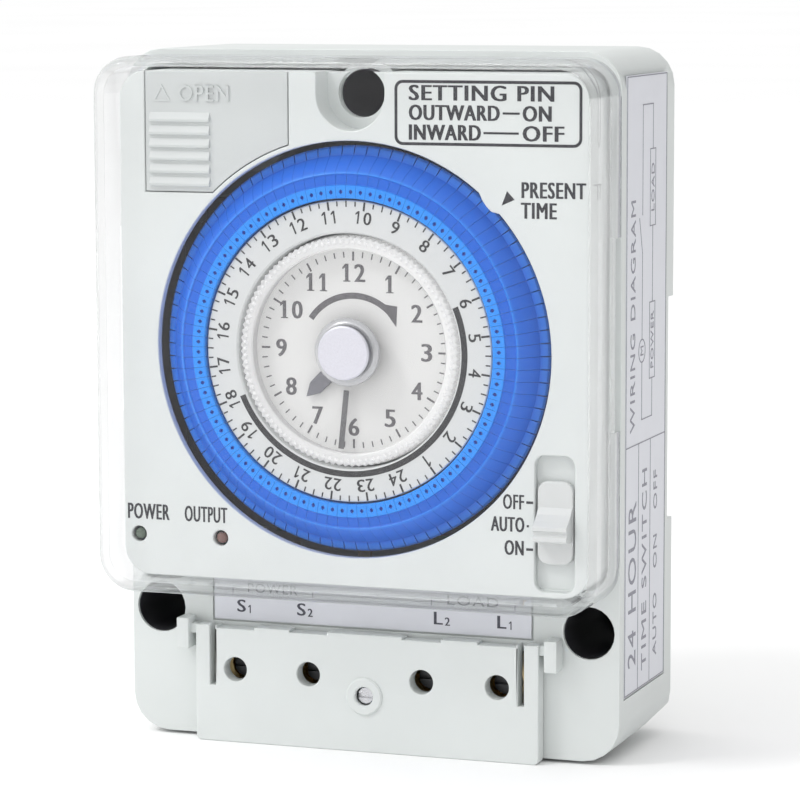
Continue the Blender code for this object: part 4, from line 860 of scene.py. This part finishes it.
# Painted glow: a faint white emission brightens the rim and its flutes, though the rim is no lamp.
rim_glow_shader.inputs["Emission Color"].default_value = (1.0, 1.0, 1.0, 1.0)
rim_glow_shader.inputs["Emission Strength"].default_value = 0.12
disc = turned([(1.1, DISC_Y), (15.75, DISC_Y), (15.75, DISC_Y + 0.9), (1.1, DISC_Y + 0.9)], 120)
fluted = []
for flute in range(FLUTES * 4):
    reach = DISC_R - 0.16 - 0.16 * cos(2 * pi * flute / 4)
    turn = 2 * pi * flute / (FLUTES * 4)
    fluted.append((DIAL_X + reach * cos(turn), DIAL_Z + reach * sin(turn)))
rim = plate([fluted, circle(DIAL_X, DIAL_Z, 15.9, 104)], DISC_Y - 0.25, DISC_Y + 2.15, 0.35, 2)
add(disc, rim, finish=1)
beads = bmesh.new()
for flute in range(FLUTES):
    turn = 2 * pi * flute / FLUTES
    spot = Matrix.Translation((DIAL_X + 17.0 * cos(turn), DISC_Y - 0.2, DIAL_Z + 17.0 * sin(turn)))
    bmesh.ops.create_uvsphere(beads, u_segments=8, v_segments=6, radius=0.36, matrix=spot)
add(disc, beads, finish=1)
show("time_disc", disc, [disc_clear, rim_clear_painted_glow], "minute_hand", ("minute_disc",))

pointer = bmesh.new()
add(pointer, bar(9.2, 0.9), x=10.75)
bmesh.ops.translate(pointer, vec=(0, DISC_Y + 0.93, 0), verts=pointer.verts)
swing_round_dial(pointer, radians(MINUTE_ANGLE))
show("minute_line", pointer, [printing_ink("line_ink", (0.09, 0.09, 0.095))], "minute_hand")


def turned_metal(name, colour, roughness, metallic=1.0, ring_size=0.12):
    """Metal faced on a lathe: fine rings round the dial's line, and a soft sparkle."""
    made, nodes, link, shader, place = new_finish(name)
    rings = nodes.new("ShaderNodeTexWave")
    rings.wave_type = "RINGS"
    rings.rings_direction = "SPHERICAL"
    rings.inputs["Scale"].default_value = 0.3 / ring_size
    rings.inputs["Distortion"].default_value = 1.5
    centred = nodes.new("ShaderNodeMapping")
    centred.vector_type = "TEXTURE"
    centred.inputs["Location"].default_value = (DIAL_X * MM, KNOB_Y * MM, DIAL_Z * MM)
    centred.inputs["Scale"].default_value = (MM, MM, MM)
    link(place, centred.inputs["Vector"])
    link(centred.outputs["Vector"], rings.inputs["Vector"])
    speckle = noise(nodes, link, place, 0.25, 2.0)
    dull = tuple(share * 0.93 for share in colour)
    link(graded(nodes, link, speckle, ((0.3, dull), (0.7, colour))), shader.inputs["Base Color"])
    shader.inputs["Metallic"].default_value = metallic
    gloss = between(nodes, link, rings.outputs["Fac"], roughness - 0.06, roughness + 0.06)
    link(gloss, shader.inputs["Roughness"])
    grained(nodes, link, shader, speckle, 0.1, 0.01)
    return made


silver = turned_metal("knob_silver", (0.72, 0.715, 0.78), 0.42, 0.5)
# Painted shade: the knob's side takes a much darker copy of the same turned metal, for the shade on its side.
side_shade_metal = turned_metal("knob_side_painted_shade", (0.20, 0.20, 0.22), 0.3, 0.7)
knob = turned(
    [(0, KNOB_Y), (3.95, KNOB_Y), (4.15, KNOB_Y + 0.15), (4.2, KNOB_Y + 0.35), (0, KNOB_Y + 0.35)], 96
)
side = turned(
    [
        (1.1, KNOB_Y + 0.35),
        (4.12, KNOB_Y + 0.35),
        (4.18, KNOB_Y + 1.45),
        (1.1, KNOB_Y + 1.45),
    ],
    96,
)
collar = turned(
    [
        (1.1, KNOB_Y + 1.45),
        (4.5, KNOB_Y + 1.45),
        (4.62, KNOB_Y + 1.55),
        (4.85, KNOB_Y + 1.65),
        (5.2, KNOB_Y + 1.7),
        (5.3, KNOB_Y + 1.85),
        (5.3, KNOB_Y + 2.1),
        (1.1, KNOB_Y + 2.1),
    ],
    96,
)
add(knob, side, finish=1)
add(knob, collar, finish=2)
collar_grey = turned_metal("knob_collar", (0.55, 0.555, 0.57), 0.25, 0.5)
show("time_knob", knob, [silver, side_shade_metal, collar_grey], "minute_hand", ("set_knob",))


# ------------------------------------------------------------------ lamps
# Two small indicator lamps, a dull green one for the supply and a dull red one for the output, stand
# in their holes just under the panel's face. Each has a domed epoxy head.
for name, tint, slot_name in (
    ("power_lamp", (0.10, 0.135, 0.10), "lamp_green"),
    ("output_lamp", (0.17, 0.085, 0.07), "lamp_red"),
):
    x, z = LAMPS[name]
    back = span(name)[1].y
    head = [(0, PANEL_Y + 0.1), (0.45, PANEL_Y + 0.16), (0.8, PANEL_Y + 0.4), (0.95, PANEL_Y + 0.8)]
    head += [(0.95, back), (0, back)]
    epoxy = moulded_plastic(f"{name}_epoxy", tint, 0.22, 0.08, 0.02)
    show(f"{name}_dome", turned(head, 32, x, z), [epoxy], "case", (name,))


# ------------------------------------------------------------------ terminal cover
# The grey ABS cover screwed over the terminals, with a driver hole in front of each clamp, a ringed
# hole for its own screw, and two sprung ears, each freed from the plate by a slit.
cover_low, cover_high = span("terminal_cover")
TC_FRONT = cover_low.y + 0.6
TC_BACK = cover_high.y
TC_HALF = 28.8
TC_TOP = -34.15
TC_LOW = cover_low.z
TERMINALS = {"s1": -22.0, "s2": -9.5, "l2": 9.5, "l1": 22.0}
TERMINAL_Z = -41.1
TC_SCREW_Z = -44.0
SLIT = (25.4, 26.4)
SLIT_LOW = -43.85
EDGE_RELIEF = 0.4
RELIEF_HALF = 3.2

shape = arc(TC_HALF - 0.8, TC_LOW + 0.8, 0.8, 270, 360, 4) + [(TC_HALF, TC_TOP)]
shape += [(SLIT[1], TC_TOP), (SLIT[1], SLIT_LOW), (SLIT[0], SLIT_LOW), (SLIT[0], TC_TOP)]
for x in sorted(TERMINALS.values(), reverse=True):
    left, right, low = x - RELIEF_HALF, x + RELIEF_HALF, TC_TOP - EDGE_RELIEF
    shape += [(right, TC_TOP), (right, low), (left, low), (left, TC_TOP)]
shape += [(-SLIT[0], TC_TOP), (-SLIT[0], SLIT_LOW), (-SLIT[1], SLIT_LOW), (-SLIT[1], TC_TOP)]
shape += [(-TC_HALF, TC_TOP)]
shape += arc(-TC_HALF + 0.8, TC_LOW + 0.8, 0.8, 180, 270, 4)
driver_holes = [circle(x, TERMINAL_Z, 1.95, 36) for x in TERMINALS.values()]
lid = plate([shape, circle(0, TC_SCREW_Z, 1.9, 36), *driver_holes], TC_FRONT, TC_BACK, 0.2)
boss = turned(
    [
        (1.5, TC_FRONT + 0.5),
        (1.5, TC_FRONT - 0.15),
        (1.7, TC_FRONT - 0.35),
        (2.75, TC_FRONT - 0.4),
        (3.0, TC_FRONT - 0.2),
        (3.05, TC_FRONT + 0.3),
        (2.0, TC_FRONT + 0.5),
    ],
    48,
    0.0,
    TC_SCREW_Z,
)
add(lid, boss)


def block(left, right, front, back, low, high, edge=0.2):
    """A box with rounded edges."""
    mesh = bmesh.new()
    middle = Matrix.Translation(((left + right) / 2, (front + back) / 2, (low + high) / 2))
    size = Matrix.Diagonal((right - left, back - front, high - low, 1.0))
    bmesh.ops.create_cube(mesh, size=1.0, matrix=middle @ size)
    round_edges(mesh, list(mesh.edges), edge)
    return mesh


for side in (-1, 1):
    neck = sorted((side * (TC_HALF - 0.4), side * 31.8))
    pad = sorted((side * 29.8, side * 31.9))
    add(lid, block(*neck, TC_FRONT + 0.5, TC_BACK, TC_TOP - 1.6, TC_TOP))
    add(lid, block(*pad, TC_FRONT - 0.6, TC_BACK, TC_TOP - 4.0, TC_TOP + 1.0))
show("terminal_lid", lid, [grey_abs], "terminal_cover", ("terminal_cover",))


# ------------------------------------------------------------------ fixing holes
# The three holes that take the wall screws are lined with black tubes: painted shade that makes the
# holes look dark inside.
SHADE_TUBE_BACK = -3.2
hole_shade_black = moulded_plastic("painted_hole_shade", (0.022, 0.022, 0.026), 0.6, 0.1)
hole_shade_tubes = bmesh.new()
for x, z, radius, front in (
    (-36.0, -32.2, 4.1, DECK_Y + 0.5),
    (36.0, -32.2, 4.1, DECK_Y + 0.5),
    (0.0, TUBE_Z, 3.7, -28.6),
):
    lining = [(radius - 0.12, front), (radius, front), (radius, SHADE_TUBE_BACK), (1.9, SHADE_TUBE_BACK)]
    lining += [(1.9, SHADE_TUBE_BACK - 0.3), (radius - 0.12, SHADE_TUBE_BACK - 0.3)]
    add(hole_shade_tubes, turned(lining, 48, x, z))
show("painted_hole_shade_tubes", hole_shade_tubes, [hole_shade_black], "case")


# ------------------------------------------------------------------ labels
# Two stickers of silvery grey film: the terminal names on the deck, and the wiring diagram on the
# right side. Their print is dark grey, and all their words are general ones.
def paper_label(name, colour):
    """Printed film over adhesive, with a faint ripple."""
    made, nodes, link, shader, place = new_finish(name)
    mottled = noise(nodes, link, place, 6.0)
    darker = tuple(share * 0.97 for share in colour)
    link(graded(nodes, link, mottled, ((0.35, darker), (0.65, colour))), shader.inputs["Base Color"])
    link(between(nodes, link, mottled, 0.38, 0.48), shader.inputs["Roughness"])
    grained(nodes, link, shader, mottled, 0.15, 0.05)
    return made


label_film = paper_label("label_film", (0.74, 0.75, 0.80))
label_ink = printing_ink("label_ink", (0.05, 0.05, 0.07))
for node in ("terminal_label", "side_label"):
    refinish(node, label_film)
deck_names = bmesh.new()
names_y = DECK_Y - INK_THICK / 2 + 0.01
for letter, digit, x in (("S", "1", -21.4), ("S", "2", -11.1), ("L", "2", 12.0), ("L", "1", 22.5)):
    add(deck_names, lettering(letter, 2.0, 1.5, 0.07), x=x - 0.65, depth=names_y, z=-31.3)
    add(deck_names, figures_of(digit, 1.3, 0.04), x=x + 0.85, depth=names_y, z=-31.75)
for left, right, words in ((-23.5, -9.8, "POWER"), (10.2, 24.0, "LOAD")):
    add(deck_names, bar(1.6, 0.15), x=left + 0.8, depth=names_y, z=-28.2)
    add(deck_names, bar(1.6, 0.15), x=right - 0.8, depth=names_y, z=-28.2)
    add(deck_names, bar(0.15, 1.2), x=left, depth=names_y, z=-28.75)
    add(deck_names, bar(0.15, 1.2), x=right, depth=names_y, z=-28.75)
    add(deck_names, lettering(words, 1.5, 8.5), x=(left + right) / 2, depth=names_y, z=-28.3)
show("terminal_names", deck_names, [label_ink], "case")

diagram = bmesh.new()
RULE = 0.17


def rule(x0, z0, x1, z1):
    """A printed line between two places on the side label."""
    along = Vector((x1 - x0, z1 - z0))
    turn = 0.0 if abs(z1 - z0) < 1e-6 else 90.0
    if turn and abs(x1 - x0) > 1e-6:
        turn = -Vector((1.0, 0.0)).angle_signed(along) * 180 / pi
    add(diagram, bar(along.length + RULE, RULE), turn, (x0 + x1) / 2, 0.0, (z0 + z1) / 2)


def frame_of_rules(left, right, low, high):
    rule(left, low, right, low)
    rule(left, high, right, high)
    rule(left, low, left, high)
    rule(right, low, right, high)


label_left, label_right, label_low, label_high = -24.1, -2.1, -42.5, 53.5
frame_of_rules(label_left, label_right, label_low, label_high)
rule(label_left, -3.6, label_right, -3.6)
add(diagram, lettering("WIRING DIAGRAM", 2.5, 36.0, 0.0), 90, -20.6, 0.0, 16.5)
frame_of_rules(-11.3, -8.3, 30.0, 42.0)
add(diagram, lettering("LOAD", 1.6, 7.5), 90, -9.8, 0.0, 36.0)
frame_of_rules(-11.3, -8.3, 6.0, 18.0)
add(diagram, lettering("POWER", 1.6, 9.0), 90, -9.8, 0.0, 12.0)
for low, high in ((0.0, 6.0), (18.0, 30.0), (42.0, 49.0)):
    rule(-9.8, low, -9.8, high)
rule(-15.5, 0.0, -15.5, 9.0)
rule(-15.5, 12.6, -15.5, 26.0)
rule(-15.5, 26.0, -17.2, 31.5)
rule(-15.5, 32.0, -15.5, 49.0)
rule(-15.5, 0.0, -9.8, 0.0)
rule(-15.5, 49.0, -9.8, 49.0)
add(diagram, printed(circle(-15.5, 10.8, 1.9, 32), circle(-15.5, 10.8, 1.68, 32)))
add(diagram, lettering("M", 1.6), 90, -15.5, 0.0, 10.8)
add(diagram, lettering("24 HOUR", 4.2, 26.0, 0.0), 90, -20.3, 0.0, -25.5)
add(diagram, lettering("TIME SWITCH", 2.6, 32.0), 90, -13.6, 0.0, -24.0)
add(diagram, lettering("AUTO   ON   OFF", 2.0, 30.0), 90, -7.4, 0.0, -24.0)
rule(-17.0, -3.6, -17.0, label_low)
rule(-10.4, -3.6, -10.4, label_low)
bmesh.ops.rotate(diagram, cent=(0, 0, 0), matrix=Matrix.Rotation(pi / 2, 3, "Z"), verts=diagram.verts)
bmesh.ops.translate(diagram, vec=(BODY_X + INK_THICK / 2 - 0.01, 0, 0), verts=diagram.verts)
show("side_diagram", diagram, [printing_ink("diagram_ink", (0.22, 0.22, 0.26))], "case")


# ------------------------------------------------------------------ clear cover
# The clear styrene box over the panel, held by friction on the casing's rim and pulled straight off.
# Its front edges are rounded, and each side is cut back at its rim for a finger and a thumb.
clear_low, clear_high = span("dial_cover")
COVER_CORNER = 6.0
COVER_WALL = 1.5
FRONT_EDGE = 1.7
GRIP_Z = (-0.3, 29.4)
GRIP_DEPTH = 3.0

shell = bmesh.new()
rim_points = round_box(clear_low.x, clear_high.x, clear_low.z, clear_high.z, COVER_CORNER, 10)
front = shell.faces.new([shell.verts.new((x, clear_low.y, z)) for x, z in rim_points])
walls = bmesh.ops.extrude_edge_only(shell, edges=list(front.edges))["geom"]
rim_verts = [item for item in walls if isinstance(item, bmesh.types.BMVert)]
bmesh.ops.translate(shell, vec=(0, clear_high.y - clear_low.y, 0), verts=rim_verts)
round_edges(shell, list(front.edges), FRONT_EDGE, 5)
for place, direction in (
    ((0, 0, GRIP_Z[0]), (0, 0, 1)),
    ((0, 0, GRIP_Z[1]), (0, 0, 1)),
    ((0, clear_high.y - GRIP_DEPTH, 0), (0, 1, 0)),
):
    everything = list(shell.verts) + list(shell.edges) + list(shell.faces)
    bmesh.ops.bisect_plane(shell, geom=everything, dist=1e-4, plane_co=place, plane_no=direction)
grips = []
for face in shell.faces:
    middle = face.calc_center_median()
    on_side = abs(middle.x) > BODY_X - 0.5
    at_rim = middle.y > clear_high.y - GRIP_DEPTH
    if on_side and at_rim and GRIP_Z[0] < middle.z < GRIP_Z[1]:
        grips.append(face)
bmesh.ops.delete(shell, geom=grips, context="FACES")
bmesh.ops.recalc_face_normals(shell, faces=shell.faces)
if sum(face.normal.y * face.calc_area() for face in shell.faces) > 0:
    bmesh.ops.reverse_faces(shell, faces=shell.faces)
front_clear = clear_plastic("front_clear", (0.93, 0.93, 0.97), 0.04, 0.022)
front_clear.node_tree.nodes["Principled BSDF"].inputs["Metallic"].default_value = 1.0
wall_clear = clear_plastic("wall_clear", (0.97, 0.97, 0.99), 0.03, 0.5)
nodes, link = wall_clear.node_tree.nodes, wall_clear.node_tree.links.new
wall_shader = nodes["Principled BSDF"]
wall_shader.inputs["Metallic"].default_value = 0.0
wall_shader.inputs["Transmission Weight"].default_value = 1.0
wall_shader.inputs["IOR"].default_value = 1.49
glance = nodes.new("ShaderNodeLayerWeight").outputs["Facing"]
# Painted shade: the walls' colour turns dark lavender where they are seen edge-on, drawing a dark line at the
# cover's silhouettes.
painted_edge_shade = graded(nodes, link, glance, ((0.90, (0.97, 0.97, 0.99)), (0.965, (0.30, 0.28, 0.42))))
link(painted_edge_shade, wall_shader.inputs["Base Color"])
dense = nodes.new("ShaderNodeMapRange")
dense.inputs["From Min"].default_value = 0.6
dense.inputs["To Min"].default_value = 0.26
dense.inputs["To Max"].default_value = 0.95
link(glance, dense.inputs["Value"])
link(dense.outputs["Result"], wall_shader.inputs["Alpha"])
for face in shell.faces:
    face.material_index = 0 if face.normal.y < -0.98 else 1
cover = show("clear_cover", shell, [front_clear, wall_clear], "dial_cover", ("dial_cover",))
thick = cover.modifiers.new("wall", "SOLIDIFY")
thick.thickness = COVER_WALL * MM
thick.offset = -1
thick.use_even_offset = True
cover.modifiers.move(1, 0)


# ------------------------------------------------------------------ movement and fittings
# What the casing holds: the movement plates, black as painted shade for the gap round the dial, the acetal
# wheels, the stepping motor, switches, boards and screws. Their shapes are the CAD's, and they get their own
# finishes here.
def metal(name, colour, roughness, scratch=0.05):
    """Plated or drawn metal, with a fine grain along its length."""
    made, nodes, link, shader, place = new_finish(name)
    stretched = nodes.new("ShaderNodeMapping")
    stretched.inputs["Scale"].default_value = (1.0, 0.1, 1.0)
    link(place, stretched.inputs["Vector"])
    grain = noise(nodes, link, stretched.outputs["Vector"], 0.4)
    dull = tuple(share * 0.85 for share in colour)
    link(graded(nodes, link, grain, ((0.3, dull), (0.7, colour))), shader.inputs["Base Color"])
    shader.inputs["Metallic"].default_value = 1.0
    link(between(nodes, link, grain, roughness - scratch, roughness + scratch), shader.inputs["Roughness"])
    return made


fittings = {
    # Painted shade: the movement plates are made black, which darkens the gap seen round the dial.
    moulded_plastic("movement_plate_shade", (0.03, 0.03, 0.035), 0.5): (
        "movement_front_plate",
        "movement_back_plate",
    ),
    moulded_plastic("wheel_acetal", (0.78, 0.77, 0.71), 0.4): (
        "dial_gear",
        "hour_wheel",
        "minute_wheel",
        "centre_wheel",
        "dial_drive_wheel",
        "dial_drive_pinion",
        "follower_lever",
    ),
    moulded_plastic("switch_black", (0.035, 0.035, 0.04), 0.45): (
        "microswitch",
        "mode_switch",
        "motor_rotor",
    ),
    moulded_plastic("plunger_red", (0.45, 0.06, 0.05), 0.4): ("switch_plunger",),
    moulded_plastic("board_green", (0.03, 0.20, 0.09), 0.35, 0.15, 0.3, 1.2): ("circuit_board", "lamp_board"),
    moulded_plastic("capacitor_red", (0.42, 0.07, 0.04), 0.35, 0.05): ("dropper_capacitor",),
    moulded_plastic("cup_white", (0.8, 0.8, 0.78), 0.4): ("battery_cup",),
    moulded_plastic("battery_sleeve", (0.06, 0.33, 0.17), 0.3, 0.04): ("backup_battery",),
    moulded_plastic("clip_grey", ABS_GREY, 0.45): ("rail_clip",),
    metal("bright_steel", (0.66, 0.66, 0.68), 0.28): (
        "motor_can",
        "centre_arbor",
        "terminal_cover_screw",
        "plate_screw_1",
        "plate_screw_2",
        *(f"case_screw_{number}" for number in range(1, 5)),
    ),
    # Painted shade: the clamp screws are made nearly black, so the driver holes in front of them look dark
    # inside.
    metal("clamp_screw_shade", (0.10, 0.10, 0.105), 0.4): tuple(f"clamp_screw_{name}" for name in TERMINALS),
    metal("drawn_brass", (0.74, 0.56, 0.28), 0.32): tuple(f"terminal_{name}" for name in TERMINALS),
    metal("coil_copper", (0.72, 0.34, 0.18), 0.35, 0.1): ("motor_coil",),
}
for finish, nodes_with_it in fittings.items():
    for node in nodes_with_it:
        refinish(node, finish)


# ------------------------------------------------------------------ studio
# A wide pale floor, a soft disk of light over the left shoulder, a sky that is brightest overhead and
# to the left, and a camera above and to the right of the dial.
def soft_light(name, place, aim, size, power):
    light = bpy.data.lights.new(name, "AREA")
    light.shape = "DISK"
    light.size = size
    light.energy = power
    lamp = bpy.data.objects.new(name, light)
    lamp.location = place
    lamp.rotation_euler = (Vector(aim) - Vector(place)).to_track_quat("-Z", "Y").to_euler()
    bpy.context.scene.collection.objects.link(lamp)


ground = bmesh.new()
bmesh.ops.create_grid(ground, x_segments=1, y_segments=1, size=15.0)
bmesh.ops.translate(ground, vec=(0, 0, cad_bounds[0].z), verts=ground.verts)
ground_data = bpy.data.meshes.new("floor")
ground.to_mesh(ground_data)
ground.free()
floor_paper, nodes, link, shader, place = new_finish("floor_paper")
tone = noise(nodes, link, place, 400.0)
paper = graded(nodes, link, tone, ((0.3, (0.93, 0.93, 0.93)), (0.7, (0.95, 0.95, 0.95))))
link(paper, shader.inputs["Base Color"])
shader.inputs["Roughness"].default_value = 0.9
shader.inputs["Specular IOR Level"].default_value = 0.0
ground_data.materials.append(floor_paper)
floor = bpy.data.objects.new("floor", ground_data)
bpy.context.scene.collection.objects.link(floor)

soft_light("key", (-0.6, -0.6, 0.85), (0, -0.03, 0.01), 0.3, 3.5)
world = bpy.data.worlds.new("studio")
world.use_nodes = True
nodes, link = world.node_tree.nodes, world.node_tree.links.new
aim = nodes.new("ShaderNodeTexCoord").outputs["Generated"]
toward = nodes.new("ShaderNodeVectorMath")
toward.operation = "DOT_PRODUCT"
toward.inputs[1].default_value = (-0.35, -0.2, 1.0)
link(aim, toward.inputs[0])
wash = nodes.new("ShaderNodeMapRange")
wash.inputs["From Min"].default_value = -0.4
wash.inputs["From Max"].default_value = 1.1
wash.inputs["To Min"].default_value = 0.08
wash.inputs["To Max"].default_value = 1.46
link(toward.outputs["Value"], wash.inputs["Value"])
link(wash.outputs["Result"], nodes["Background"].inputs["Strength"])
nodes["Background"].inputs["Color"].default_value = (1.0, 1.0, 1.0, 1.0)
bpy.context.scene.world = world
bpy.context.scene.view_settings.view_transform = "Standard"

YAW, PITCH, ROLL = 0.3482, 0.1287, -0.0029
REACH = 0.55995
target = Vector((0.00459, -0.0269, 0.00061))
back = Vector((sin(YAW) * cos(PITCH), -cos(YAW) * cos(PITCH), sin(PITCH)))
right = Vector((cos(YAW), sin(YAW), 0.0))
up = back.cross(right)
level_right = right * cos(ROLL) + up * sin(ROLL)
level_up = up * cos(ROLL) - right * sin(ROLL)
lens = bpy.data.cameras.new("camera")
lens.lens = 160.94
lens.sensor_width = 36.0
lens.shift_x = 0.00335
lens.shift_y = 0.0187
lens.clip_start = 0.01
camera = bpy.data.objects.new("camera", lens)
turn = Matrix((level_right, level_up, back)).transposed().to_4x4()
camera.matrix_world = Matrix.Translation(target + back * REACH) @ turn
bpy.context.scene.collection.objects.link(camera)
bpy.context.scene.camera = camera
